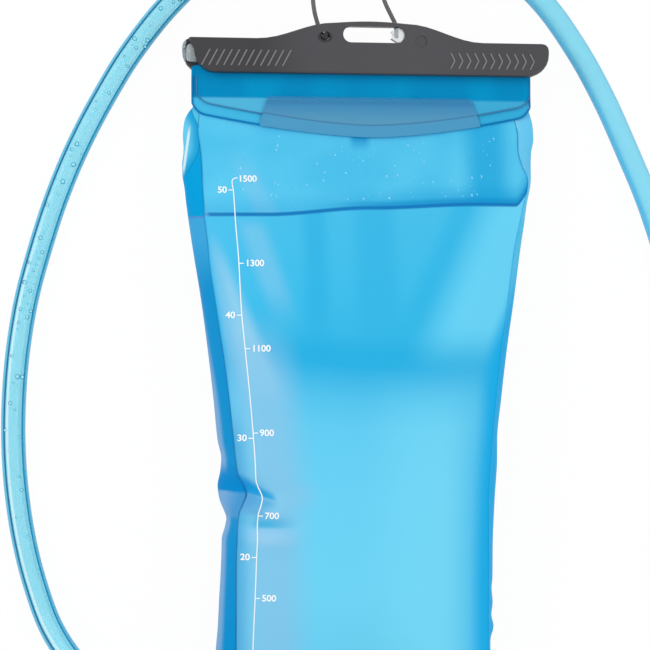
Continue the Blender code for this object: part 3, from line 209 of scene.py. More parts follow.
class Shape:
    """Points and faces of one piece, gathered from slabs, tubes and beads."""

    def __init__(self) -> None:
        """Start with no points and no faces."""
        self.points: list[Vector] = []
        self.faces: list[tuple[int, ...]] = []
        self.slots: list[int] = []

    def face(self, slot: int, *corners: int) -> None:
        """Add one face of a material slot."""
        self.faces.append(corners)
        self.slots.append(slot)

    def slab(self, place: Place, columns: int, rows: int, thickness: float,
             hole: Optional[Callable[[Vector], bool]] = None) -> None:
        """Add a closed sheet that follows a surface and is thick on its under side.

        Args:
            place: Surface point for u and v from 0 to 1.
            columns: Cells along u.
            rows: Cells along v.
            thickness: Thickness of the sheet.
            hole: Tells which cells are left out, by their middles.
        """
        base = len(self.points)
        wide = columns + 1
        top = [Vector(place(i / columns, j / rows)) for j in range(rows + 1) for i in range(wide)]

        def normal(i: int, j: int) -> Vector:
            """Find the surface's normal at a grid point.

            Args:
                i: Its column.
                j: Its row.

            Returns:
                The unit normal.
            """
            right = top[j * wide + min(i + 1, columns)] - top[j * wide + max(i - 1, 0)]
            up = top[min(j + 1, rows) * wide + i] - top[max(j - 1, 0) * wide + i]
            return right.cross(up).normalized()

        under = [top[j * wide + i] - thickness * normal(i, j)
                 for j in range(rows + 1) for i in range(wide)]
        self.points += top + under
        lower = len(top)
        edges: dict[tuple[int, int], None] = {}
        for j in range(rows):
            for i in range(columns):
                a = j * wide + i
                ring = (a, a + 1, a + 1 + wide, a + wide)
                if hole and hole((top[ring[0]] + top[ring[2]]) / 2):
                    continue
                self.face(0, *(base + k for k in ring))
                self.face(0, *(base + lower + k for k in reversed(ring)))
                edges.update(dict.fromkeys(zip(ring, ring[1:] + ring[:1])))
        for a, b in edges:
            if (b, a) not in edges:
                self.face(0, base + b, base + a, base + lower + a, base + lower + b)

    def rings(self, loops: Sequence[Sequence[Vector]], slot: int = 0, caps: bool = True) -> None:
        """Add a skin through closed loops of equal count.

        Args:
            loops: Rings of points in order.
            slot: Material slot of its faces.
            caps: Whether the two end rings are filled.
        """
        base = len(self.points)
        count = len(loops[0])
        for loop in loops:
            self.points += loop
        for k in range(len(loops) - 1):
            for i in range(count):
                a = base + k * count + i
                b = base + k * count + (i + 1) % count
                self.face(slot, a, b, b + count, a + count)
        if caps:
            self.face(slot, *(base + i for i in reversed(range(count))))
            self.face(slot, *(base + (len(loops) - 1) * count + i for i in range(count)))

    def tube(self, route: Sequence[Vector], radius: float, sides: int, slot: int = 0) -> None:
        """Add a round bead or cord along a route.

        Args:
            route: Points of its centre line.
            radius: Radius of its section.
            sides: Sides of its section.
            slot: Material slot of its faces.
        """
        self.rings(tube_rings(route, radius, sides), slot)

    def bead(self, middle: Vector, size: Sequence[float]) -> None:
        """Add a small rounded drop.

        Args:
            middle: Its centre.
            size: Its half axes.
        """
        bands = 4
        sides = BEAD_SIDES
        turns = [2 * math.pi * i / sides for i in range(sides)]
        loops = []
        for k in range(1, bands):
            fall = math.pi * k / bands
            loops.append([middle + Vector((size[0] * math.sin(fall) * math.cos(a),
                                           size[1] * math.sin(fall) * math.sin(a),
                                           size[2] * math.cos(fall))) for a in turns])
        self.rings(loops, caps=False)
        low = len(self.points) - sides
        first = low - (bands - 2) * sides
        self.points += [middle + Vector((0, 0, size[2])), middle - Vector((0, 0, size[2]))]
        for i in range(sides):
            self.face(0, len(self.points) - 2, first + (i + 1) % sides, first + i)
            self.face(0, len(self.points) - 1, low + i, low + (i + 1) % sides)

    def piece(self, name: str, *materials: bpy.types.Material) -> bpy.types.Object:
        """Make the scene object.

        Args:
            name: Name of the piece.
            materials: Its materials, in the order of the slots.

        Returns:
            The linked object, smooth but for its sharp edges.
        """
        mesh = bpy.data.meshes.new(name)
        mesh.from_pydata(self.points, [], self.faces)
        mesh.polygons.foreach_set("material_index", self.slots)
        bm = bmesh.new()
        bm.from_mesh(mesh)
        bmesh.ops.delete(bm, geom=[v for v in bm.verts if not v.link_faces], context="VERTS")
        bmesh.ops.recalc_face_normals(bm, faces=bm.faces)
        bm.to_mesh(mesh)
        bm.free()
        for material in materials:
            mesh.materials.append(material)
        mesh.shade_smooth()
        mesh.set_sharp_from_angle(angle=SHARP_ANGLE)
        made = bpy.data.objects.new(name, mesh)
        bpy.context.scene.collection.objects.link(made)
        return made


def tube_rings(route: Sequence[Vector], radius: float, sides: int) -> list[list[Vector]]:
    """Set rings of points about a route, level with +Z where they start.

    Args:
        route: Points of the centre line.
        radius: Radius of the rings.
        sides: Points on each ring.

    Returns:
        The rings in order.
    """
    upright = 0.05
    turns = [2 * math.pi * i / sides for i in range(sides)]
    loops = []
    for k, point in enumerate(route):
        ahead = (route[min(k + 1, len(route) - 1)] - route[max(k - 1, 0)]).normalized()
        up = Vector((0, 0, 1)) - ahead * ahead.z
        if up.length < upright:
            up = Vector((0, 1, 0)) - ahead * ahead.y
        up.normalize()
        across = ahead.cross(up)
        loops.append([point + radius * (math.cos(a) * up + math.sin(a) * across) for a in turns])
    return loops


def settle(piece: bpy.types.Object, body: Body, slot: str, *nodes: str) -> bpy.types.Object:
    """Let a piece ride on a body.

    Args:
        piece: The piece.
        body: The body that carries it.
        slot: Not used.
        nodes: The solids that it stands for.

    Returns:
        The piece.
    """
    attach(piece, body.value)
    if nodes:
        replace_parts(piece, *nodes)
    return piece


class Term:
    """One output of a node tree; arithmetic on it adds Math nodes."""

    def __init__(self, book: "NodeBook", socket: bpy.types.NodeSocket) -> None:
        """Hold the socket and the book that it is in."""
        self.book = book
        self.socket = socket

    def maths(self, operation: str, *values: "Value") -> "Term":
        """Add a Math node on these values."""
        return self.book.add("ShaderNodeMath", {"operation": operation}, dict(enumerate(values)))

    def __add__(self, other: "Value") -> "Term":
        """Return the sum."""
        return self.maths("ADD", self, other)

    __radd__ = __add__

    def __sub__(self, other: "Value") -> "Term":
        """Return the difference."""
        return self.maths("SUBTRACT", self, other)

    def __rsub__(self, other: "Value") -> "Term":
        """Return the difference from another value."""
        return self.maths("SUBTRACT", other, self)

    def __mul__(self, other: "Value") -> "Term":
        """Return the product."""
        return self.maths("MULTIPLY", self, other)

    __rmul__ = __mul__

    def __abs__(self) -> "Term":
        """Return the size without its sign."""
        return self.maths("ABSOLUTE", self)

    def sine(self) -> "Term":
        """Return the sine."""
        return self.maths("SINE", self)

    def rise(self, low: "Value", high: "Value") -> "Term":
        """Return a smooth step from 0 at low to 1 at high."""
        return self.book.add("ShaderNodeMapRange", {"interpolation_type": "SMOOTHSTEP"},
                             {"Value": self, "From Min": low, "From Max": high})

    def fall(self, low: float, high: float) -> "Term":
        """Return a smooth step from 1 at low to 0 at high."""
        return 1 - self.rise(low, high)

    def near(self, middle: "Value", core: float, reach: float) -> "Term":
        """Return 1 within core of a middle, and 0 from reach on."""
        return abs(self - middle).fall(core, reach)


Value = Union[Term, float, Sequence[float]]


def water_line(rise: Callable[[float, float], Value]) -> Value:
    """Return the water line's height, by smooth steps between places across the bag."""
    return sum((rise(low, high) * gain for low, high, gain in WATER_STEPS), WATER_LEVEL)


class NodeBook:
    """A node tree, written through one node-making method."""

    def __init__(self, tree: bpy.types.NodeTree) -> None:
        """Hold the tree."""
        self.tree = tree

    def add(self, kind: str, settings: Optional[Mapping[str, object]] = None,
            inputs: Optional[Mapping[Union[int, str], Value]] = None,
            output: Union[int, str] = 0) -> Term:
        """Add a node.

        Args:
            kind: Blender's name for the node's type.
            settings: Attributes set first; "stops" are a ramp's places and colours.
            inputs: Values or terms for its sockets.
            output: The output that is wanted.

        Returns:
            That output.
        """
        node = self.tree.nodes.new(kind)
        for key, value in (settings or {}).items():
            if key == "stops":
                self.set_stops(node.color_ramp, value)
            else:
                setattr(node, key, value)
        for key, value in (inputs or {}).items():
            self.feed(node.inputs[key], value)
        return Term(self, node.outputs[output])

    def set_stops(self, ramp: bpy.types.ColorRamp, stops: Sequence[tuple[float, Colour]]) -> None:
        """Give a ramp its stops.

        Args:
            ramp: The ramp.
            stops: Places from 0 to 1 with their colours.
        """
        while len(ramp.elements) < len(stops):
            ramp.elements.new(1.0)
        for element, (place, colour) in zip(ramp.elements, stops):
            element.position = place
            element.color = colour

    def feed(self, socket: bpy.types.NodeSocket, value: Value) -> None:
        """Link a term to a socket, or set its value.

        Args:
            socket: The input.
            value: A term, a number or a colour.
        """
        if isinstance(value, Term):
            self.tree.links.new(value.socket, socket)
        else:
            socket.default_value = value

    def mix(self, share: Value, first: Value, second: Value) -> Term:
        """Return the second colour over the first, by a share."""
        return self.add("ShaderNodeMix", {"data_type": "RGBA"}, {0: share, 6: first, 7: second}, 2)

    def place(self) -> tuple[Term, Term, Term]:
        """Return the place on the piece in millimetres along X, Y and Z."""
        spot = self.add("ShaderNodeTexCoord", output="Object")
        return tuple(self.add("ShaderNodeSeparateXYZ", None, {0: spot}, axis) * 1000.0 for axis in "XYZ")

    def noise(self, scale: float, detail: float = 2.0,
              stretch: Sequence[float] = (1.0, 1.0, 1.0)) -> Term:
        """Add soft noise.

        Args:
            scale: Cells a metre.
            detail: Octaves of finer noise.
            stretch: Shares of the scale along the axes.

        Returns:
            The noise, about 0.5.
        """
        spot = self.add("ShaderNodeTexCoord", output="Object")
        moved = self.add("ShaderNodeMapping", None, {"Vector": spot, "Scale": stretch})
        return self.add("ShaderNodeTexNoise", None, {"Vector": moved, "Scale": scale, "Detail": detail})

    def facing(self, blend: float) -> Term:
        """Return how far the surface turns from the view, for gloss and glass."""
        return self.add("ShaderNodeLayerWeight", None, {"Blend": blend}, "Facing")

    def bump(self, height: Term, strength: float, distance: float = GRAIN_DEPTH) -> Term:
        """Return a normal roughened by a height."""
        return self.add("ShaderNodeBump", None,
                        {"Height": height, "Strength": strength, "Distance": distance})


class SurfaceBook(NodeBook):
    """The node tree of one Principled material."""

    def __init__(self, name: str) -> None:
        """Make the material.

        Args:
            name: Its name.
        """
        self.material = bpy.data.materials.new(name)
        self.material.use_nodes = True
        super().__init__(self.material.node_tree)
        self.shader = self.tree.nodes["Principled BSDF"]

    def dress(self, **sockets: Value) -> bpy.types.Material:
        """Feed the shader's sockets, whose names have _ for spaces.

        Args:
            sockets: A value or a term for each socket.

        Returns:
            The material.
        """
        for name, value in sockets.items():
            self.feed(self.shader.inputs[name.replace("_", " ")], value)
        return self.material


class FilmBook(SurfaceBook):
    """The node tree of a film, with the place on the bag and the colour painted so far."""

    def __init__(self, name: str) -> None:
        """Make the material and read the place in millimetres.

        Args:
            name: Its name.
        """
        super().__init__(name)
        self.x, self.y, self.z = self.place()
        self.colour: Value = WHITE

    def shade(self, share: Value, first: str, second: str) -> Term:
        """Return a blend of two of the film's colours."""
        return self.mix(share, look(first), look(second))

    def lay(self, share: Value, over: Union[str, Term]) -> None:
        """Paint a colour, or a painted term, over what is there by a share."""
        self.colour = self.mix(share, self.colour, look(over) if isinstance(over, str) else over)

    def lay_right(self) -> None:
        """Paint shade along the bag's right edge, with a paler painted reflection rim low down."""
        y = self.y
        seam = (51.8 + y.rise(-70.0, 40.0) * 4.6) + y.rise(20.0, 115.0) * 13.4
        edge = self.x - seam
        start = y.rise(22.0, 88.0) * 13.0 - 13.0
        deep = "#00b3ee"
        # Painted shade along the right edge, then a painted reflection rim low down.
        self.lay(edge.rise(-25.0, 5.0) * y.fall(-20.0, 40.0) * 0.82, deep)
        self.lay(edge.rise(start + 2.0, start + 11.0) * y.fall(80.0, 96.0), deep)
        self.lay(edge.rise(3.4, 5.4) * y.fall(-40.0, 4.0) * 0.5, "#5aa5e5")

    def finish(self, grain: Term, spread: float, roughness: float, gloss: float, relief: float,
               alpha: Value) -> bpy.types.Material:
        """Dress the film with its colour and a fine grain.

        Args:
            grain: Noise of the grain.
            spread: How far the grain changes the roughness.
            roughness: Least roughness.
            gloss: Specular level.
            relief: Strength of the grain's relief.
            alpha: How dense the film is.

        Returns:
            The material.
        """
        return self.dress(Base_Color=self.colour, Alpha=alpha, Roughness=grain * spread + roughness,
                          Specular_IOR_Level=gloss, Normal=self.bump(grain, relief))


@dataclass(frozen=True)
class PlasticFinish:
    """Moulded plastic or rubber with a fine grain."""

    name: str
    colour: str
    roughness: float = 0.45
    grain: float = 0.10
    grain_scale: float = 2600.0
    drift: float = 0.10
    drift_scale: float = 60.0
    shine: float = 0.5

    def make(self) -> bpy.types.Material:
        """Give it a slow drift of shade, a fine grain and uneven gloss.

        Returns:
            The material.
        """
        book = SurfaceBook(self.name)
        base = satin(self.colour)
        darker = tuple(v * (1 - self.drift) for v in base[:3]) + (1.0,)
        lighter = tuple(min(1.0, v * (1 + self.drift)) for v in base[:3]) + (1.0,)
        slow = book.noise(self.drift_scale, 3.0)
        fine = book.noise(self.grain_scale)
        return book.dress(Base_Color=book.mix(slow, darker, lighter),
                          Roughness=fine * 0.10 + (self.roughness - 0.05), Specular_IOR_Level=self.shine,
                          Normal=book.bump(fine, self.grain))


@dataclass(frozen=True)
class BarFinish:
    """Satin plastic of the slide bar, with painted highlights on the grip ribs' tops and a slightly
    paler hump.
    """

    name: str
    colour: str = "#434245"
    left: str = "#353538"
    hump: str = "#4c4b4f"
    foot: str = "#2f2e31"
    grain_scale: float = 2600.0
    rib_highlight: str = "#85858a"
    shade: str = "#29292b"
    end: str = "#a3afb4"
    face: float = 30.3
    hole: tuple = (-19.9, 178.4)
    hole_half: tuple = (3.5, 2.6)
    end_lip: float = -81.5

    def round_hole(self, x: Term, y: Term) -> Term:
        """Mark the shaded hollow round the cord hole.

        Args:
            x: Place across the bag.
            y: Place along the bag.

        Returns:
            1 in the hollow and 0 outside it.
        """
        across = (x - self.hole[0]) * (1 / self.hole_half[0])
        along_bar = (y - self.hole[1]) * (1 / self.hole_half[1])
        return (across * across + along_bar * along_bar).fall(0.7, 1.15)

    def make(self) -> bpy.types.Material:
        """Paint the bar, one layer over another.

        Returns:
            The material.
        """
        book = SurfaceBook(self.name)
        x, y, z = book.place()
        slow = book.noise(45.0)
        fine = book.noise(self.grain_scale)
        colour = book.mix(x.rise(-60.0, 40.0), satin(self.left), satin(self.colour))
        # Painted highlights on the tops of the raised grip ribs.
        lit_rib_tops = z.rise(self.face + 0.12, self.face + 0.26)
        layers = ((x.near(1.0, 20.0, 55.0) * 0.6 + slow * 0.3, self.hump),
                  (y.fall(161.9, 163.5) * 0.35, self.foot),
                  (lit_rib_tops * (fine * 0.5 + 0.5), self.rib_highlight),
                  (self.round_hole(x, y) * 0.85, self.shade),
                  (x.fall(self.end_lip - 0.2, self.end_lip + 0.2), self.end))
        for share, code in layers:
            colour = book.mix(share, colour, satin(code))
        return book.dress(Base_Color=colour, Roughness=fine * 0.10 + 0.36, Normal=book.bump(fine, 0.08))


@dataclass(frozen=True)
class ClearFinish:
    """Clear plastic that is denser towards its edges."""

    name: str
    middle: str
    edge: str
    alpha: float
    edge_alpha: float

    def make(self) -> bpy.types.Material:
        """Make it glassy by Layer Weight.

        Returns:
            The material.
        """
        book = SurfaceBook(self.name)
        facing = book.facing(0.45)
        fine = book.noise(700.0)
        return book.dress(Base_Color=book.mix(facing, tint(self.middle), tint(self.edge)),
                          Alpha=facing * (self.edge_alpha - self.alpha) + self.alpha,
                          Roughness=fine * 0.08 + 0.06, Coat_Weight=0.6)


@dataclass(frozen=True)
class SteelFinish:
    """Drawn spring wire."""

    name: str
    colour: str

    def make(self) -> bpy.types.Material:
        """Draw fine marks along the metal.

        Returns:
            The material.
        """
        book = SurfaceBook(self.name)
        marks = book.noise(900.0, 3.0, (1.0, 1.0, 6.0))
        return book.dress(Base_Color=book.mix(marks, tint(self.colour), tint("#e4e4e6")), Metallic=1.0,
                          Roughness=marks * 0.15 + 0.22)


@dataclass(frozen=True)
class CordFinish:
    """Braided cord."""

    name: str
    colour: str
    light: str
    turns: float = 5.2
    lean: float = 0.7
    relief: float = 0.3 * MM

    def make(self) -> bpy.types.Material:
        """Cross the braid's strands.

        Returns:
            The material.
        """
        book = SurfaceBook(self.name)
        x, y, z = book.place()
        strand_a = ((y + x * self.lean + z * self.lean) * self.turns).sine()
        strand_b = ((y - x * self.lean - z * self.lean) * self.turns).sine()
        braid = (strand_a * strand_b) * 0.5 + 0.5
        return book.dress(Base_Color=book.mix(braid, tint(self.colour), tint(self.light)),
                          Roughness=braid * 0.1 + 0.7, Normal=book.bump(braid, 0.5, self.relief))


@dataclass(frozen=True)
class Pinch:
    """The pinch on the bag's left: a dent from the edge, then a ridge, a groove and a swell by it."""

    dent: float = 3.4
    dent_x: tuple = (-40.0, -64.0)
    dent_y: float = -26.0
    dent_climb: float = 5.5
    dent_width: float = 1.8
    dent_flare: float = 4.6
    fold_outer: tuple = (-64.0, -54.0)
    fold_inner: tuple = (-30.0, -42.0)
    ridge: float = 1.0
    ridge_y: tuple = (-45.0, 4.5)
    groove: float = 1.1
    groove_y: tuple = (-38.0, 3.5)
    swell: float = 0.8
    swell_x: tuple = (-34.0, -52.0)
    swell_y: tuple = (-32.0, 4.0)

    def lift(self, x: float, y: float) -> float:
        """Work out how far the pinch lifts the front film or, below 0, draws it in.

        Args:
            x: Place across the bag.
            y: Place along the bag.

        Returns:
            The change of height.
        """
        reach = ease(*self.dent_x, x)
        middle = self.dent_y + self.dent_climb * reach
        dent = -self.dent * reach * hill(y, middle, self.dent_width + self.dent_flare * reach)
        fold = ease(*self.fold_outer, x) * ease(*self.fold_inner, x)
        ridge = self.ridge * fold * hill(y, *self.ridge_y) - self.groove * fold * hill(y, *self.groove_y)
        swell = self.swell * ease(*self.swell_x, x) * hill(y, *self.swell_y)
        return dent + ridge + swell


@dataclass(frozen=True)
class BagForm:
    """The filled bag's surface, by its sections between the neck and the base weld.

    A section row holds the depth below the bar, half the width, the back seam's inset, and the
    heights of the front crown, the front seam, the back seam and the back, in millimetres.
    """

    bar_bottom: float = 162.0
    centre: float = -4.6
    sections: tuple = (
        (6.0, 76.2, 0.0, 23.85, 23.85, 22.75, 22.75), (16.0, 76.2, 0.0, 25.66, 24.66, 22.31, 21.84),
        (27.0, 78.4, 2.5, 28.37, 26.67, 19.80, 18.43), (48.0, 78.4, 4.0, 34.10, 30.10, 14.93, 12.06),
        (60.0, 76.83, 4.5, 37.42, 32.11, 12.42, 7.96), (83.0, 73.3, 5.0, 43.45, 36.14, 9.48, 2.5),
        (105.0, 70.07, 5.0, 47.67, 39.16, 8.44, 0.0), (150.0, 64.29, 5.0, 52.19, 42.99, 8.0, 0.0),
        (195.0, 61.4, 5.0, 54.0, 44.0, 8.0, 0.0), (304.0, 61.4, 5.0, 54.0, 44.0, 8.0, 0.0),
        (322.0, 63.23, 4.0, 44.07, 36.87, 8.95, 0.7), (334.0, 66.28, 2.0, 29.18, 25.68, 13.2, 7.33),
        (340.0, 67.5, 0.0, 18.55, 18.55, 17.45, 17.45), (347.8, 63.6, 0.0, 18.55, 18.55, 17.45, 17.45))
    left_inset: tuple = (
        (6.0, 1.6), (10.0, 2.0), (14.0, 3.4), (20.0, 5.6), (28.3, 6.6), (36.0, 7.6), (47.7, 8.1),
        (57.0, 7.4), (65.5, 6.4), (73.0, 6.0), (90.4, 4.95), (119.0, 4.9), (141.0, 4.95),
        (163.0, 5.2), (170.0, 5.3), (178.0, 6.0), (184.1, 9.0), (186.7, 9.6), (191.1, 7.6),
        (195.5, 5.7), (202.6, 5.1), (220.0, 4.6), (304.0, 4.5), (322.0, 3.6), (334.0, 1.8),
        (340.0, 0.0), (347.8, 0.0))
    right_inset: tuple = (
        (6.0, -3.2), (10.0, 0.5), (14.0, 4.0), (18.0, 4.3), (33.0, 4.9), (40.0, 3.4), (47.0, 0.8),
        (60.0, 2.0), (83.0, 4.0), (304.0, 5.0), (322.0, 4.0), (334.0, 2.0), (340.0, 0.0),
        (347.8, 0.0))
    left_rim: tuple = (
        (6.0, -77.4), (12.0, -77.4), (15.0, -78.4), (18.0, -80.7), (22.0, -82.3), (28.0, -82.8),
        (34.0, -82.4), (41.0, -83.1), (46.0, -82.9), (51.0, -82.0), (57.0, -81.4), (79.0, -78.4),
        (101.0, -74.9), (124.0, -71.9), (146.0, -69.4), (164.0, -67.6), (172.0, -65.9),
        (178.0, -66.3), (184.0, -67.3), (190.0, -66.7), (195.0, -64.9), (199.0, -63.5),
        (203.0, -64.3), (208.0, -65.8), (213.0, -65.9), (225.0, -66.4), (235.0, -67.0),
        (247.0, -67.6), (258.0, -68.5), (270.0, -68.8), (304.0, -68.0), (322.0, -68.4),
        (334.0, -70.9), (340.0, -72.1), (347.8, -68.2))
    right_rim: tuple = (
        (6.0, 74.9), (12.0, 74.4), (15.0, 74.9), (18.5, 76.0), (22.0, 76.8), (28.0, 77.2),
        (34.0, 76.2), (45.0, 75.8), (50.0, 75.2), (56.0, 74.0), (67.0, 72.5), (79.0, 70.7),
        (101.0, 67.5), (124.0, 63.9), (146.0, 61.1), (164.0, 59.2), (172.0, 59.2), (191.0, 58.0),
        (213.0, 57.0), (226.0, 56.9), (231.0, 56.4), (237.5, 57.0), (243.0, 56.3), (248.5, 57.5),
        (254.0, 55.8), (270.0, 55.6), (304.0, 56.4), (322.0, 58.6), (334.0, 61.7), (340.0, 62.9),
        (347.8, 59.0))
    neck_tuck: float = 2.4
    top: float = 6.0
    bottom: float = 347.8
    port: tuple = (-4.6, -122.0)
    ripple_size: float = 0.4
    ripple_rate: float = 0.42
    ripple_start: tuple = (256.0, 266.0)
    ripple_end: tuple = (312.0, 292.0)
    tuck_rows: tuple = (28.0, 14.0)
    crown_power: int = 3
    back_flat: float = 0.7
    pinch: Pinch = Pinch()

    @lru_cache(maxsize=None)
    def section(self, depth: float) -> tuple[float, ...]:
        """Return half width, inset and the four heights at a depth below the bar."""
        return tuple(along(self.sections, column, depth) for column in range(1, 7))

    @lru_cache(maxsize=None)
    def seam(self, side: Side, depth: float) -> float:
        """Return where across the bag a front seam lies."""
        rows = self.left_inset if side is Side.LEFT else self.right_inset
        return self.centre + side.value * (self.section(depth)[0] - along(rows, 1, depth))

    @lru_cache(maxsize=None)
    def rim(self, side: Side, depth: float) -> float:
        """Find a side's outermost line, with the pinch's dents on the left and ripples on the right.

        Args:
            side: Side of the bag.
            depth: Depth below the bar.

        Returns:
            Where it lies across the bag.
        """
        if side is Side.LEFT:
            return along(self.left_rim, 1, depth)
        ripple = self.ripple_size * math.sin(self.ripple_rate * depth)
        ripple *= ease(*self.ripple_start, depth) * ease(*self.ripple_end, depth)
        return along(self.right_rim, 1, depth) + ripple

    def height(self, x: float, depth: float) -> float:
        """Find the front film's height.

        Args:
            x: Place across the bag.
            depth: Depth below the bar.

        Returns:
            The height there.
        """
        _, _, crown, edge, _, _ = self.section(depth)
        side = Side.LEFT if x < self.centre else Side.RIGHT
        share = min(1.0, abs((x - self.centre) / (self.seam(side, depth) - self.centre)))
        rise = (crown - edge) * (1 - share ** self.crown_power)
        return edge + rise + self.pinch.lift(x, self.bar_bottom - depth)

    def front(self, across: float, depth: float) -> Vector:
        """Find a point of the front film.

        Args:
            across: Share of the way to a seam, from -1 on the left to 1 on the right.
            depth: Depth below the bar.

        Returns:
            The point in metres.
        """
        side = Side.LEFT if across < 0 else Side.RIGHT
        x = self.centre + abs(across) * (self.seam(side, depth) - self.centre)
        return self.point(x, depth, self.height(x, depth))

    def back_half(self, depth: float) -> float:
        """Return half the back film's width, drawn in under the folded mouth."""
        half, inset = self.section(depth)[:2]
        return half - inset - self.neck_tuck * ease(*self.tuck_rows, depth)

    def back(self, across: float, depth: float) -> Vector:
        """Find a point of the back film, flat over its middle.

        Args:
            across: Share of half its width, from -1 on the left to 1 on the right.
            depth: Depth below the bar.

        Returns:
            The point in metres.
        """
        edge, low = self.section(depth)[4:]
        climb = max(0.0, (abs(across) - self.back_flat) / (1 - self.back_flat))
        x = self.centre + across * self.back_half(depth)
        return self.point(x, depth, low + (edge - low) * climb ** 2)

    def side(self, side: Side, share: float, depth: float) -> Vector:
        """Find a point of a side film.

        Args:
            side: Side of the bag.
            share: 0 at the front seam and 1 at the back seam.
            depth: Depth below the bar.

        Returns:
            The point in metres.
        """
        upper, lower = self.section(depth)[3:5]
        seam = self.seam(side, depth)
        behind = self.centre + side.value * self.back_half(depth)
        bulge = self.rim(side, depth) - (seam + behind) / 2
        x = seam + (behind - seam) * share + bulge * math.sin(math.pi * share)
        top = upper + self.pinch.lift(seam, self.bar_bottom - depth)
        return self.point(x, depth, top + (lower - top) * share)

    def point(self, x: float, depth: float, z: float) -> Vector:
        """Return a place in metres."""
        return Vector((x, self.bar_bottom - depth, z)) * MM


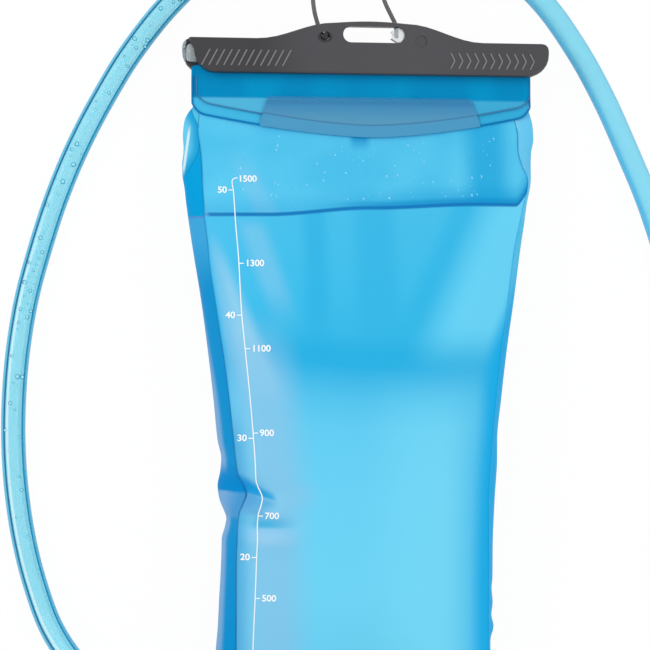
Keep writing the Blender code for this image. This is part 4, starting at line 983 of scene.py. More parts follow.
@dataclass(frozen=True)
class FrontFilmFinish:
    """Front film: blue see-through sheet with painted light and shade that follow the water, the folds
    and the pinch.
    """

    alpha: float = 0.93
    roughness: float = 0.30
    foot: float = -190.0
    length: float = 300.0
    # The film's colour along its length, with a band of painted shade about 24 to 45 mm up and painted
    # light lower down.
    stops: tuple = ((-190, "#66cff4"), (-70, "#72d9fa"), (-25, "#6ed6fa"), (4, "#66d0f6"),
                    (16, "#58c8f2"), (24, "#47beed"), (31, "#30b5e8"), (37, "#2fb5e8"), (45, "#3cbdec"),
                    (64, "#44c2ef"), (110, "#4fc5f1"))

    def make(self) -> bpy.types.Material:
        """Paint the film's length, then its left, its right, the pinch and the neck.

        Returns:
            The material.
        """
        film = FilmBook("front_film")
        x, y = film.x, film.y
        run = y + (film.noise(9.0, 1.0, (1.6, 0.5, 1.0)) - 0.5) * 14.0
        ramp = [((place - self.foot) / self.length, look(code)) for place, code in self.stops]
        film.colour = film.add("ShaderNodeValToRGB", {"stops": ramp},
                               {0: (run - self.foot) * (1 / self.length)})
        # Painted shade in two soft upright bands and a dark diagonal, then painted light right of the
        # diagonal and low on the right.
        high = y.rise(30.0, 66.0)
        film.lay(x.near(-26.0, 1.0, 9.0) * high * 0.5, "#28b1e5")
        film.lay(x.near(1.0, 4.0, 14.0) * high * 0.4, "#2ab2e6")
        slant = x - y * 0.49
        film.lay(slant.near(-7.0, 1.0, 12.0) * high * 0.45, "#28b6ea")
        film.lay(slant.rise(-8.0, 15.0) * y.rise(25.0, 52.0) * 0.85, "#72dcfd")
        film.lay(x.near(24.0, 4.0, 34.0) * y.fall(-4.0, 34.0) * 0.55, "#7adffc")
        seam = (-61.2 - y.rise(-25.0, 120.0) * 14.3) + y.near(-25.2, 0.0, 9.5) * 4.3
        from_seam = x - seam
        self.lay_left(film, from_seam)
        film.lay_right()
        self.lay_pinch(film)
        self.lay_neck(film, from_seam)
        return film.finish(film.noise(FILM_GRAIN), spread=0.10, roughness=self.roughness,
                           gloss=FILM_GLOSS, relief=0.06, alpha=self.alpha)

    def lay_left(self, film: FilmBook, from_seam: Term) -> None:
        """Paint highlights by the left seam: a sheen streak, a ray of light and a pale wedge.

        Args:
            film: The film's nodes.
            from_seam: Distance from the left seam.
        """
        x, y = film.x, film.y
        # Painted highlights: the sheen streak, the ray of light and the pale wedge.
        film.lay(from_seam.near(15.0, 3.0, 20.5) * y.fall(20.0, 60.0) * 0.85, "#88caee")
        ray = (x + y * 0.33).near(-22.9, 1.5, 9.0) * y.rise(46.0, 70.0) * y.fall(90.0, 99.0)
        film.lay(ray * 0.45, "#8fd0f0")
        highlight_wedge = (x + y * 0.42).fall(-37.0, -29.5) * from_seam.rise(0.3, 2.5)
        pale = film.shade(from_seam.rise(1.0, 9.0), "#7cc5ec", "#a6d8f2")
        film.lay(highlight_wedge * y.rise(8.0, 50.0) * y.fall(78.0, 97.0) * 0.65, pale)
        film.lay(from_seam.fall(0.0, 8.0) * y.fall(-6.0, 20.0) * 0.75, "#4fa9de")

    def lay_pinch(self, film: FilmBook) -> None:
        """Paint light and shade on the pinch on the left.

        Args:
            film: The film's nodes.
        """
        x, y = film.x, film.y
        below = y + 24.2 + (x + 57.7) * 0.26
        above = y + 15.1 + (x + 61.1) * 0.597
        # A bluer patch below the pinch, painted shade in its wedge, hook and band, and painted light on
        # the fold under it.
        film.lay(below.near(-4.0, 2.5, 7.0) * x.fall(-54.0, -45.0) * 0.85, "#5fabde")
        inside = below.rise(-0.5, 0.9) * above.fall(-2.6, 1.4) * x.fall(-46.6, -43.4)
        film.lay(inside * 0.97, film.shade(x.rise(-60.0, -46.0), "#0098de", "#06a6e0"))
        film.lay(y.near(-29.0, 0.2, 3.4) * x.near(-48.5, 0.5, 6.0) * 0.6, "#45aee0")
        band = (y + 39.8).rise(-0.6, 0.9) * (y + 35.0).fall(-3.0, 1.5)
        film.lay(band * x.rise(-57.0, -51.0) * x.fall(-49.0, -33.0) * 0.85, "#3fb3e3")
        lip = y.near(-43.8, 1.0, 5.6) * x.rise(-60.0, -51.0) * x.fall(-47.0, -31.0)
        film.lay(lip * 0.8, "#98cff1")

    def lay_neck(self, film: FilmBook, from_seam: Term) -> None:
        """Paint the film above the water with its painted light and shade, and the dark water line.

        Args:
            film: The film's nodes.
            from_seam: Distance from the left seam.
        """
        x, y = film.x, film.y
        over = y - water_line(x.rise)
        dry = film.shade(film.noise(26.0).rise(0.35, 0.7), "#50c5f0", "#60cff6")
        # A painted ray of light; then a darker strip on the right, painted shade just over the water
        # line and under the middle of the lips.
        ray = (x + y * 0.45).near(-2.5, 1.5, 8.0) * y.fall(110.0, 132.0)
        layers = ((x.near(54.0, 3.0, 15.0) * 0.8, "#22abe2"),
                  (ray * 0.4, "#8fd0f3"),
                  (over.fall(0.5, 11.0) * (x.rise(-10.0, 50.0) * 0.4 + 0.35), "#1ea3dd"),
                  (x.near(-4.0, 2.0, 6.0) * y.rise(126.0, 134.0) * 0.8, "#1795d2"))
        for share, code in layers:
            dry = film.mix(share, dry, look(code))
        film.lay(over.rise(-0.8, 0.8), dry)
        shadow = over.near(1.2, 0.4, 2.8) * over.rise(-0.6, 0.2) * x.rise(-30.0, 10.0)
        film.lay(shadow * 0.7, "#0a94d0")
        film.lay(over.near(0.0, 0.35, 1.3) * from_seam.rise(0.5, 3.0) * 0.95, "#007abf")
        film.lay(over.near(0.0, 0.2, 0.7) * from_seam.fall(0.5, 3.0) * 0.8, "#6a8fc8")


@dataclass(frozen=True)
class SideFilmFinish:
    """Side and back film: deep blue along the water, light where only film is left."""

    name: str
    deep: str = "#0097d6"
    # Painted reflection along the left side's outer rim.
    pale: str = "#80b3e0"
    light: str = "#6ccdf6"
    alpha: float = 0.95

    def make(self) -> bpy.types.Material:
        """Paint the left and the right side, below the water line and above it.

        Returns:
            The material.
        """
        film = FilmBook(self.name)
        x, y = film.x, film.y
        soft = film.noise(18.0, 2.0, (1.0, 0.5, 1.0))
        on_left = x.fall(-20.0, 20.0)
        light = film.shade(soft.rise(0.4, 0.65), self.light, "#86d8fa")
        upper = film.mix(on_left, light, self.left_ear(film))
        left = self.left_low(film)
        film.colour = film.shade(soft.rise(0.3, 0.75), "#58c9f3", "#66d1f7")
        film.lay_right()
        film.lay(on_left, left)
        film.lay(y.rise(96.6, 98.4), upper)
        film.lay(y.near(97.4, 0.1, 0.6) * on_left * 0.6, "#6a7fc0")
        return film.finish(film.noise(FILM_GRAIN), spread=0.1, roughness=0.45, gloss=0.04, relief=0.06,
                           alpha=self.alpha)

    def left_low(self, film: FilmBook) -> Term:
        """Paint the left side below the water: deep by the seam, a pale painted reflection outside,
        painted shade in the pinch.

        Args:
            film: The film's nodes.

        Returns:
            The colour there.
        """
        y, z = film.y, film.z
        turn = z + y.rise(0.0, 80.0) * 10.0
        # The pale colour is a painted reflection along the outer rim; the last layer is painted shade in
        # the pinch.
        film.colour = film.shade(y.rise(10.0, 80.0), self.pale, "#3f9cd4")
        film.lay(turn.rise(31.2, 36.4), self.deep)
        film.lay(y.rise(62.0, 92.0) * 0.7, "#52b4e6")
        film.lay(y.near(-29.8, 4.0, 7.0), film.shade(z.rise(28.0, 42.0), self.pale, "#4f9fd8"))
        film.lay((y + 24.2).rise(-0.5, 0.8) * (y + 13.5).fall(-4.0, 3.0), "#0090d6")
        return film.colour

    def left_ear(self, film: FilmBook) -> Term:
        """Paint the left ear: a light leaf-shaped fold with a painted highlight streak, on deeper film.

        Args:
            film: The film's nodes.

        Returns:
            The colour there.
        """
        x, y = film.x, film.y
        fold = (-76.2 - y.fall(113.0, 129.0) * 6.2) - y.rise(136.0, 146.0) * 3.0
        inside = x - fold
        leaf = film.shade(inside.rise(-6.0, -0.8), "#6fd0f1", "#2ca8dc")
        # A painted highlight streak along the leaf.
        streak = (x - y * 0.133).near(-98.5, 0.2, 0.8) * y.rise(115.0, 121.0) * y.fall(133.0, 140.0)
        leaf = film.mix(streak * 0.9, leaf, look("#e6f7fd"))
        film.colour = film.shade(y.rise(132.0, 143.0), "#06a4e0", "#58c6ec")
        film.lay(inside.fall(-0.3, 0.3), leaf)
        film.lay(inside.near(0.0, 0.1, 0.45) * y.rise(114.0, 118.0) * 0.7, "#1a86bd")
        return film.colour


@dataclass(frozen=True)
class LipFinish:
    """Folded mouth: saturated under the bar, paler towards its hem."""

    name: str
    strip: str
    hem: str
    alpha: float = 0.90

    def make(self) -> bpy.types.Material:
        """Paint the strip under the bar and the hem below it.

        Returns:
            The material.
        """
        film = FilmBook(self.name)
        x, y = film.x, film.y
        patches = film.noise(42.0, 1.0, (1.0, 0.35, 1.0))
        film.colour = film.shade(patches.rise(0.42, 0.62), self.strip, "#009cd2")
        film.lay(y.rise(157.0, 162.5) * 0.4, "#0086c0")
        film.lay(y.fall(150.4, 151.8), film.shade(x.rise(-60.0, 60.0) * 0.45, self.hem, "#2ca8da"))
        return film.finish(film.noise(1400.0), spread=0.1, roughness=0.22, gloss=0.05, relief=0.05,
                           alpha=self.alpha)


@dataclass(frozen=True)
class FrostedFinish:
    """Frosted grip tab, through which the outer lip's hem shows."""

    apex: float
    span: float
    hem_low: float
    hem_rise: float
    hem_power: float
    name: str = "frosted_tab"
    light: str = "#60a4c9"
    deep: str = "#4a96c8"
    hem: str = "#4478a6"
    below: str = "#4aa6d8"

    def make(self) -> bpy.types.Material:
        """Paint it matt, with a fine frost and the line of the hem.

        Returns:
            The material.
        """
        film = FilmBook(self.name)
        y = film.y
        film.colour = film.shade(y.rise(140.0, 150.0), self.light, self.deep)
        share = abs(film.x - self.apex) * (1 / self.span)
        over = y - (share.maths("POWER", share, self.hem_power) * self.hem_rise + self.hem_low)
        film.lay(over.fall(-0.8, 0.4) * 0.5, self.below)
        film.lay(over.near(0.0, 0.1, 0.6) * 0.6, self.hem)
        alpha = y.fall(147.0, 152.0) * 0.6 + 0.22
        return film.finish(film.noise(2400.0, 3.0), spread=0.15, roughness=0.5, gloss=FILM_GLOSS,
                           relief=0.12, alpha=alpha)


@dataclass(frozen=True)
class WaterFinish:
    """Water in the bag, as bright as it looks through the film."""

    name: str = "bag_water"

    def make(self) -> bpy.types.Material:
        """Paint it in soft patches, deeper towards the back.

        Returns:
            The material.
        """
        book = SurfaceBook(self.name)
        _, _, z = book.place()
        soft = book.noise(7.0, 1.0, (1.5, 0.6, 1.0))
        colour = book.mix(soft.rise(0.3, 0.7), tint("#4fc3ef"), tint("#7fe0fb"))
        colour = book.mix(z.fall(8.0, 36.0) * 0.8, colour, tint("#1c9cdb"))
        ripple = book.noise(120.0)
        return book.dress(Base_Color=colour, Roughness=ripple * 0.05 + 0.05)


@dataclass(frozen=True)
class TubeFinish:
    """Clear drink tube: a glassy wall in which the sides of the bore show dark; milky on the right."""

    name: str = "tube_wall"
    body: str = "#00e3ff"
    rim: str = "#46c2ea"
    line_left: str = "#0d6490"
    line_right: str = "#0c8cbe"
    gleam: str = "#eafcff"
    milky: str = "#8be8ff"
    milky_side: str = "#12c0f4"
    alpha: float = 0.45

    def make(self) -> bpy.types.Material:
        """Make it glassy by Layer Weight, and tint it by the way the surface faces.

        Returns:
            The material.
        """
        book = SurfaceBook(self.name)
        x, y, _ = book.place()
        facing = book.facing(0.5)
        normal = book.add("ShaderNodeNewGeometry", output="Normal")
        left = book.add("ShaderNodeSeparateXYZ", None, {0: normal}, "X").fall(-0.15, 0.15)
        clear = x.fall(20.0, 80.0)
        soft = book.noise(55.0)
        rim = facing.rise(0.38, 0.46)
        dark = facing.rise(0.22, 0.29) * (1 - rim) * left + facing.near(0.31, 0.02, 0.09) * (1 - left)
        dark = dark * clear
        gleam = facing.near(0.14, 0.02, 0.09) * left * clear * (y.fall(70.0, 125.0) * 0.55 + 0.2)
        colour = book.mix(rim, book.mix(soft, tint(self.body), tint("#16e6ff")), tint(self.rim))
        colour = book.mix(dark, colour, book.mix(left, tint(self.line_right), tint(self.line_left)))
        colour = book.mix(gleam, colour, tint(self.gleam))
        shade = facing.rise(0.02, 0.34) * left * 0.8 + facing.rise(0.4, 0.75) * (1 - left) * 0.7
        colour = book.mix(1 - clear, colour, book.mix(shade, tint(self.milky), tint(self.milky_side)))
        alpha = (rim * 0.35 + dark * 0.5 + gleam * 0.4) * clear + (1 - clear) * 0.35
        return book.dress(Base_Color=colour, Alpha=alpha.maths("MINIMUM", alpha + self.alpha, 1.0),
                          Roughness=soft * 0.05 + 0.08, Specular_IOR_Level=0.25)


@dataclass(frozen=True)
class BubbleFinish:
    """Air in the tube's water: a clear middle in a dark ring."""

    name: str = "tube_air"
    middle: str = "#9fe4f6"
    ring: str = "#0a5c88"

    def make(self) -> bpy.types.Material:
        """Draw the ring by Layer Weight.

        Returns:
            The material.
        """
        book = SurfaceBook(self.name)
        ring = book.facing(0.5).rise(0.04, 0.18)
        soft = book.noise(900.0)
        return book.dress(Base_Color=book.mix(ring, tint(self.middle), tint(self.ring)),
                          Roughness=soft * 0.05 + 0.3, Specular_IOR_Level=0.2)


@dataclass(frozen=True)
class SeamFinish:
    """Weld bead along the front seams, hardly darker than the film except low on the left."""

    name: str = "seam_weld"

    def make(self) -> bpy.types.Material:
        """Paint the left and the right bead.

        Returns:
            The material.
        """
        film = FilmBook(self.name)
        soft = film.noise(120.0)
        left = film.shade(film.y.rise(40.0, 110.0), "#2f86c0", "#35a8dc")
        right = film.shade(film.y.rise(106.0, 112.0), "#38b6e8", "#1f97d0")
        return film.dress(Base_Color=film.mix(film.x.fall(-20.0, 20.0), right, left),
                          Roughness=soft * 0.1 + 0.3, Specular_IOR_Level=FILM_GLOSS)


@dataclass(frozen=True)
class PrintFinish:
    """White print."""

    name: str = "white_print"

    def make(self) -> bpy.types.Material:
        """Make it slightly uneven, as screen print is.

        Returns:
            The material.
        """
        book = SurfaceBook(self.name)
        worn = book.noise(900.0)
        return book.dress(Base_Color=book.mix(worn, tint("#eaf6fc"), tint("#ffffff")),
                          Roughness=worn * 0.1 + 0.5)


@dataclass
class Studio:
    """Camera, soft light and a white floor."""

    target: Vector = Vector((-0.0190, 0.0495, 0.0240))
    distance: float = 1.1
    yaw: float = math.radians(8.5)
    lens: float = 135.4
    ambient: float = 0.72
    floor_reach: float = 6.0
    floor_drop: float = 0.4 * MM
    floor_glow: float = 0.95
    floor_grey: float = 0.92
    floor_white: float = 1.005
    sensor: float = 36.0
    lamps: tuple = (("left_softbox", (-0.9, 0.5, 1.1), 0.9, 6.5),
                    ("right_softbox", (1.0, -0.3, 1.2), 1.1, 4.0))

    def build(self) -> None:
        """Place the camera, the world, the lamps and the floor."""
        scene = bpy.context.scene
        scene.view_settings.view_transform = "Standard"
        self.add_camera(scene)
        self.add_world(scene)
        for lamp in self.lamps:
            self.add_lamp(*lamp)
        self.add_floor()

    def add_camera(self, scene: bpy.types.Scene) -> None:
        """Set the camera a little to the left of square on, above the bag.

        Args:
            scene: The scene that looks through it.
        """
        forward = Vector((math.sin(self.yaw), 0.0, -math.cos(self.yaw)))
        right = Vector((math.cos(self.yaw), 0.0, math.sin(self.yaw)))
        data = bpy.data.cameras.new("camera")
        data.lens = self.lens
        data.sensor_width = self.sensor
        camera = bpy.data.objects.new("camera", data)
        axes = Matrix((right, Vector((0, 1, 0)), -forward)).transposed()
        camera.matrix_world = Matrix.Translation(self.target - forward * self.distance) @ axes.to_4x4()
        scene.collection.objects.link(camera)
        scene.camera = camera

    def seen(self, book: NodeBook) -> Term:
        """Tell the rays that show the background, straight or through gloss and glass.

        Args:
            book: The nodes of the world or the floor.

        Returns:
            1 for those rays and 0 for the rest.
        """
        rays = [book.add("ShaderNodeLightPath", output=name)
                for name in ("Is Camera Ray", "Is Glossy Ray", "Is Transmission Ray")]
        return rays[0].maths("MAXIMUM", rays[0], rays[0].maths("MAXIMUM", rays[1], rays[2]))

    def add_world(self, scene: bpy.types.Scene) -> None:
        """Light the room evenly, white where it is seen.

        Args:
            scene: The scene in the room.
        """
        world = bpy.data.worlds.new("room")
        world.use_nodes = True
        scene.world = world
        book = NodeBook(world.node_tree)
        background = world.node_tree.nodes["Background"]
        book.feed(background.inputs["Color"], WHITE)
        book.feed(background.inputs["Strength"], self.seen(book) * (1 - self.ambient) + self.ambient)

    def add_lamp(self, name: str, place: Sequence[float], size: float, power: float) -> None:
        """Add a soft area lamp that faces the bag.

        Args:
            name: Its name.
            place: Where it stands.
            size: Width of its square.
            power: Its power in watts.
        """
        data = bpy.data.lights.new(name, "AREA")
        data.size = size
        data.energy = power
        lamp = bpy.data.objects.new(name, data)
        lamp.location = place
        lamp.rotation_mode = "QUATERNION"
        lamp.rotation_quaternion = (self.target - Vector(place)).to_track_quat("-Z", "Y")
        bpy.context.scene.collection.objects.link(lamp)

    def add_floor(self) -> None:
        """Lay the white floor, which glows where it is seen and keeps a soft shadow."""
        shape = Shape()
        reach = self.floor_reach
        shape.points = [Vector((x, y, -self.floor_drop)) for x, y in
                        ((-reach, -reach), (reach, -reach), (reach, reach), (-reach, reach))]
        shape.face(0, 0, 1, 2, 3)
        material = bpy.data.materials.new("white_floor")
        material.use_nodes = True
        book = NodeBook(material.node_tree)
        matt = book.add("ShaderNodeBsdfDiffuse", None, {"Color": (self.floor_grey,) * 3 + (1.0,)})
        glow = book.add("ShaderNodeEmission", None, {"Color": WHITE, "Strength": self.floor_white})
        share = self.seen(book) * self.floor_glow
        mixed = book.add("ShaderNodeMixShader", None, {0: share, 1: matt, 2: glow})
        book.feed(material.node_tree.nodes["Material Output"].inputs["Surface"], mixed)
        shape.piece("floor", material)


@dataclass
class FilmBag:
    """The bag's front, back and side films with their welded seams, and the water inside."""

    form: BagForm
    front_cells: tuple = (112, 220)
    back_cells: tuple = (48, 120)
    side_cells: tuple = (22, 200)
    seam_steps: int = 200
    seam_lift: float = 0.2
    water_across: int = 56
    water_around: int = 12
    water_rows: int = 110
    line_depth: float = 60.0
    pit_slope: float = 2.5
    water_inset: float = 1.2
    water_bottom: float = 334.0
    port_clear: float = 14.5
    pit_radius: float = 13.0
    pit_depth: float = 23.4
    seam_bead: float = 0.15
    seam_start: float = 23.0
    side_start: float = 14.0
    side_end: float = 337.0
    front_margin: float = 0.013
    back_end: float = 0.97

    def build(self) -> list[bpy.types.Object]:
        """Make the films, seams and water, riding on the bag.

        Returns:
            The pieces.
        """
        form = self.form
        front = Shape()
        front.slab(lambda u, v: form.front(2 * u - 1, self.depth(1 - v)), *self.front_cells, FILM,
                   hole=self.over_port)
        back = Shape()
        back.slab(lambda u, v: form.back(1 - 2 * u, self.depth(1 - v)), *self.back_cells, FILM)
        front_film = FrontFilmFinish().make()
        back_film = SideFilmFinish("back_film", alpha=0.9).make()
        side_film = SideFilmFinish("side_film").make()
        rows = ((front, "film_front", front_film, "blue_film", "front_panel"),
                (back, "film_back", back_film, "blue_film", "back_panel"),
                (self.side_shape(Side.LEFT), "film_left", side_film, "blue_film", "left_gusset"),
                (self.side_shape(Side.RIGHT), "film_right", side_film, "blue_film", "right_gusset"),
                (self.seam_shape(), "film_seams", SeamFinish().make(), "blue_film"),
                (self.water_shape(), "water_body", WaterFinish().make(), "water", "water_fill"))
        return [settle(shape.piece(name, finish), Body.BAG, *rest)
                for shape, name, finish, *rest in rows]

    def depth(self, share: float) -> float:
        """Return the depth below the bar at a share of the bag's length."""
        return self.form.top + share * (self.form.bottom - self.form.top)

    def over_port(self, point: Vector) -> bool:
        """Tell whether a place lies over the port, under its flange."""
        x, y = self.form.port
        return math.hypot(point.x / MM - x, point.y / MM - y) < self.port_clear

    def side_shape(self, side: Side) -> Shape:
        """Make a side film between its two seams.

        Args:
            side: Side of the bag.

        Returns:
            The film.
        """
        shape = Shape()
        span = self.back_end - self.front_margin

        def place(u: float, v: float) -> Vector:
            """Find a point of the side film.

            Args:
                u: Share of the way from seam to seam.
                v: Share of the way down.

            Returns:
                The point in metres.
            """
            depth = self.side_start + v * (self.side_end - self.side_start)
            share = u if side is Side.LEFT else 1 - u
            return self.form.side(side, self.front_margin + span * share, depth)

        shape.slab(place, *self.side_cells, FILM)
        return shape

    def seam_shape(self) -> Shape:
        """Lay the fine weld beads along the front seams.

        Returns:
            Both beads.
        """
        shape = Shape()
        for side in Side:
            route = []
            for k in range(self.seam_steps + 1):
                depth = self.seam_start + (self.side_end - self.seam_start) * k / self.seam_steps
                x = self.form.seam(side, depth)
                route.append(self.form.point(x, depth, self.form.height(x, depth) + self.seam_lift))
            shape.tube(route, self.seam_bead * MM, BEAD_SIDES)
        return shape

    def water_top(self, x: float) -> float:
        """Return the depth of the water line below the bar, at a place across the bag."""
        return self.form.bar_bottom - water_line(lambda low, high: ease(low, high, x))

    def water_shape(self) -> Shape:
        """Fill the bag up to the water line, a little inside the films, with a pit for the port.

        Returns:
            The water.
        """
        form = self.form
        across = self.water_across
        around = self.water_around

        def on_section(k: int, depth: float) -> Vector:
            """Find a point of the section's outline.

            Args:
                k: Index round the outline, from the left front seam.
                depth: Depth below the bar.

            Returns:
                The point on the films.
            """
            if k < across:
                return form.front(2 * k / across - 1, depth)
            if k < across + around:
                return form.side(Side.RIGHT, (k - across) / around, depth)
            if k < 2 * across + around:
                return form.back(1 - 2 * (k - across - around) / across, depth)
            return form.side(Side.LEFT, 1 - (k - 2 * across - around) / around, depth)

        def inset(point: Vector, depth: float) -> Vector:
            """Draw a point in from the films.

            Args:
                point: The point on the films.
                depth: Its depth below the bar.

            Returns:
                The point of the water.
            """
            half, _, crown, _, _, low = form.section(depth)
            middle = (crown + low) / 2
            x = form.centre + (point.x / MM - form.centre) * (1 - self.water_inset / half)
            z = middle + (point.z / MM - middle) * (1 - 2 * self.water_inset / (crown - low))
            off = math.hypot(x - form.port[0], form.bar_bottom - depth - form.port[1])
            if z > middle:
                z -= self.pit_depth * ease(self.pit_radius + self.pit_slope, self.pit_radius, off)
            return form.point(x, depth, z)

        loops = []
        for row in range(self.water_rows + 1):
            loop = []
            for k in range(2 * (across + around)):
                first = self.water_top(on_section(k, self.line_depth).x / MM)
                depth = first + (self.water_bottom - first) * row / self.water_rows
                loop.append(inset(on_section(k, depth), depth))
            loops.append(loop)
        shape = Shape()
        shape.rings(loops)
        return shape


@dataclass
class FoldedMouth:
    """The film folded over the rail: two lips with welded hems, and the frosted grip tab."""

    form: BagForm
    rail_height: float = 24.0
    rail_y: float = 171.0
    fold_radius: float = 3.0
    neck_fillet: float = 1.5
    layer_step: float = 0.7
    left: float = -79.3
    right: float = 75.4
    apex: float = 1.0
    head_end: float = -74.0
    drop: float = 27.9
    side_rise: float = 10.5
    side_power: float = 1.6
    corner: float = 6.0
    lip_step: float = 5.0
    left_step: float = 1.8
    tab_top: float = 10.0
    tab_centre: float = 1.2
    tab_half_top: float = 46.5
    tab_half_low: float = 50.5
    tab_low: float = 0.4
    tab_step: tuple = (3.0, 0.6)
    tab_cells: tuple = (72, 18)
    head_rows: tuple = (166.7, 164.6)
    leg_gap: float = 0.15
    leg_rows: tuple = (159.0, 162.0, 164.0, 164.8, 165.4, 166.0)
    fillet_steps: int = 6
    crest_steps: int = 28
    fold_columns: int = 96
    lip_rows: int = 22
    wave: float = 0.25
    wave_rate: float = 0.09
    wave_shift: float = 0.6
    wave_rows: tuple = (8.0, 24.0)
    hem_inside: float = 0.3
    hem_steps: int = 120
    hem_climb: float = 1.5
    hem_rows: int = 20
    hem_corner: float = 0.5
    strip: str = "#0093cb"
    layers: tuple = (("lip_inner", "mouth_fold_inner", 0.42, "#4cc2ec", "#0a80bd"),
                     ("lip_outer", "mouth_fold_outer", 0.26, "#5bbfe6", "#4f86b2"))

    def build(self) -> list[bpy.types.Object]:
        """Make both lips and the tab, riding on the bag.

        Returns:
            The pieces.
        """
        made = []
        for layer, (name, node, radius, hem, weld) in enumerate(self.layers):
            shape = Shape()
            self.add_fold(shape, layer)
            self.add_hem(shape, layer, radius)
            film = LipFinish(f"{name}_film", self.strip, hem).make()
            bead = PlasticFinish(f"{name}_hem", weld, roughness=0.5, grain=0.05, shine=0.1).make()
            made.append(settle(shape.piece(name, film, bead), Body.BAG, "blue_film", node))
        tab = Shape()
        tab.slab(self.tab_point, *self.tab_cells, FILM)
        hem_low = self.form.bar_bottom - self.drop + self.lip_step
        frost = FrostedFinish(self.apex, self.right - self.apex, hem_low, self.side_rise,
                              self.side_power)
        made.append(settle(tab.piece("lip_tab", frost.make()), Body.BAG, "frosted_film", "grip_tab"))
        return made

    def edge(self, x: float, layer: int) -> float:
        """Find a lip's edge.

        Args:
            x: Place across the bag.
            layer: 0 for the inner lip and 1 for the outer.

        Returns:
            How far below the bar it lies.
        """
        end = self.right if x > self.apex else self.left + self.left_step * layer
        share = min(1.0, (x - self.apex) / (end - self.apex))
        depth = self.drop - self.lip_step * layer - self.side_rise * share ** self.side_power
        inner = self.corner - abs(end - x)
        if inner > 0:
            depth -= self.corner - math.sqrt(max(0.0, self.corner ** 2 - inner ** 2))
        return depth

    def path(self, layer: int) -> list[tuple[float, float]]:
        """Lay out a layer's way from the bag, round the rail and back.

        Args:
            layer: 0 for the inner layer and 1 for the outer.

        Returns:
            Y along it, with Z about the rail's height.
        """
        offset = self.layer_step * layer
        radius = self.fold_radius + offset
        fillet = self.neck_fillet - offset
        throat_z = self.leg_gap + self.neck_fillet
        throat_y = -math.sqrt((self.fold_radius + self.neck_fillet) ** 2 - throat_z ** 2)
        turn = math.atan2(throat_z, -throat_y)

        def arc(y: float, z: float, size: float, start: float, end: float, steps: int) -> list:
            """Return points on an arc about a centre."""
            turns = [start + (end - start) * k / steps for k in range(steps + 1)]
            return [(y + size * math.cos(a), z + size * math.sin(a)) for a in turns]

        foot = self.form.bar_bottom - self.form.top + CLEAR / MM
        leg = [(y, -self.leg_gap - offset) for y in (foot, *self.leg_rows)]
        climb = leg + arc(self.rail_y + throat_y, -throat_z, fillet, math.pi / 2, turn,
                          self.fillet_steps)
        crest = arc(self.rail_y, 0.0, radius, math.pi + turn, 3 * math.pi - turn, self.crest_steps)
        return climb + crest[1:-1] + [(y, -z) for y, z in reversed(climb)]

    def lip_height(self, x: float, depth: float, layer: float) -> float:
        """Find the under face of a lip over the front film.

        Args:
            x: Place across the bag.
            depth: Depth below the bar.
            layer: 0 for the inner lip and 1 for the outer, or between them.

        Returns:
            Its height.
        """
        wave = self.wave * math.sin(self.wave_rate * x + self.wave_shift * layer)
        lift = CLEAR / MM + self.layer_step * layer + wave * ease(*self.wave_rows, depth)
        return self.form.height(x, depth) + lift

    def add_fold(self, shape: Shape, layer: int) -> None:
        """Add one film layer: its legs, its turn round the rail and its lip.

        Args:
            shape: The lip's shape.
            layer: 0 for the inner layer and 1 for the outer.
        """
        path = self.path(layer)
        rows = len(path) - 1 + self.lip_rows
        left_lip = self.left + self.left_step * layer
        top = self.form.top - CLEAR / MM

        def place(u: float, v: float) -> Vector:
            """Find a point of the layer's inner face, which clears the rail's head on the left.

            Args:
                u: Share of the way across.
                v: Share of the way along the layer.

            Returns:
                The point in metres.
            """
            row = round(v * rows)
            y, z = path[min(row, len(path) - 1)]
            left = self.head_end + (left_lip - self.head_end) * ease(*self.head_rows, y)
            x = left + (self.right - left) * u
            if row < len(path):
                return Vector((x, y, self.rail_height + z)) * MM
            depth = top + (self.edge(x, layer) - top) * (row - len(path) + 1) / self.lip_rows
            return self.form.point(x, depth, self.lip_height(x, depth, layer))

        shape.slab(place, self.fold_columns, rows, -FILM)

    def add_hem(self, shape: Shape, layer: int, radius: float) -> None:
        """Add the weld bead along a lip's lower edge and up its two sides.

        Args:
            shape: The lip's shape.
            layer: 0 for the inner lip and 1 for the outer.
            radius: Radius of the bead in millimetres.
        """
        steps = self.hem_steps
        left = self.left + self.left_step * layer + self.hem_inside
        right = self.right - self.hem_inside
        places = [left + (right - left) * (1 - math.cos(math.pi * k / steps)) / 2
                  for k in range(steps + 1)]
        low = [(x, self.edge(x, layer)) for x in places]
        climb = [self.hem_climb + k for k in range(self.hem_rows)]
        path = ([(left, depth) for depth in climb if depth < low[0][1] - self.hem_corner] + low
                + [(right, depth) for depth in reversed(climb) if depth < low[-1][1] - self.hem_corner])
        route = [self.form.point(x, depth, self.lip_height(x, depth, layer) + FILM / MM)
                 for x, depth in path]
        shape.tube(route, radius * MM, BEAD_SIDES, slot=1)

    def tab_point(self, u: float, v: float) -> Vector:
        """Find a point of the grip tab's face, wider towards its hem.

        Args:
            u: Share of the way across.
            v: Share of the way up.

        Returns:
            The point in metres.
        """
        half = self.tab_half_low + (self.tab_half_top - self.tab_half_low) * v
        x = self.tab_centre + half * (2 * u - 1)
        low = self.edge(x, 0) + self.tab_low
        depth = low + (self.tab_top - low) * v
        outer = self.edge(x, 1)
        over, under = self.tab_step
        level = ease(outer + over, outer + under, depth)
        return self.form.point(x, depth, self.lip_height(x, depth, level) + 2 * FILM / MM + CLEAR / MM)


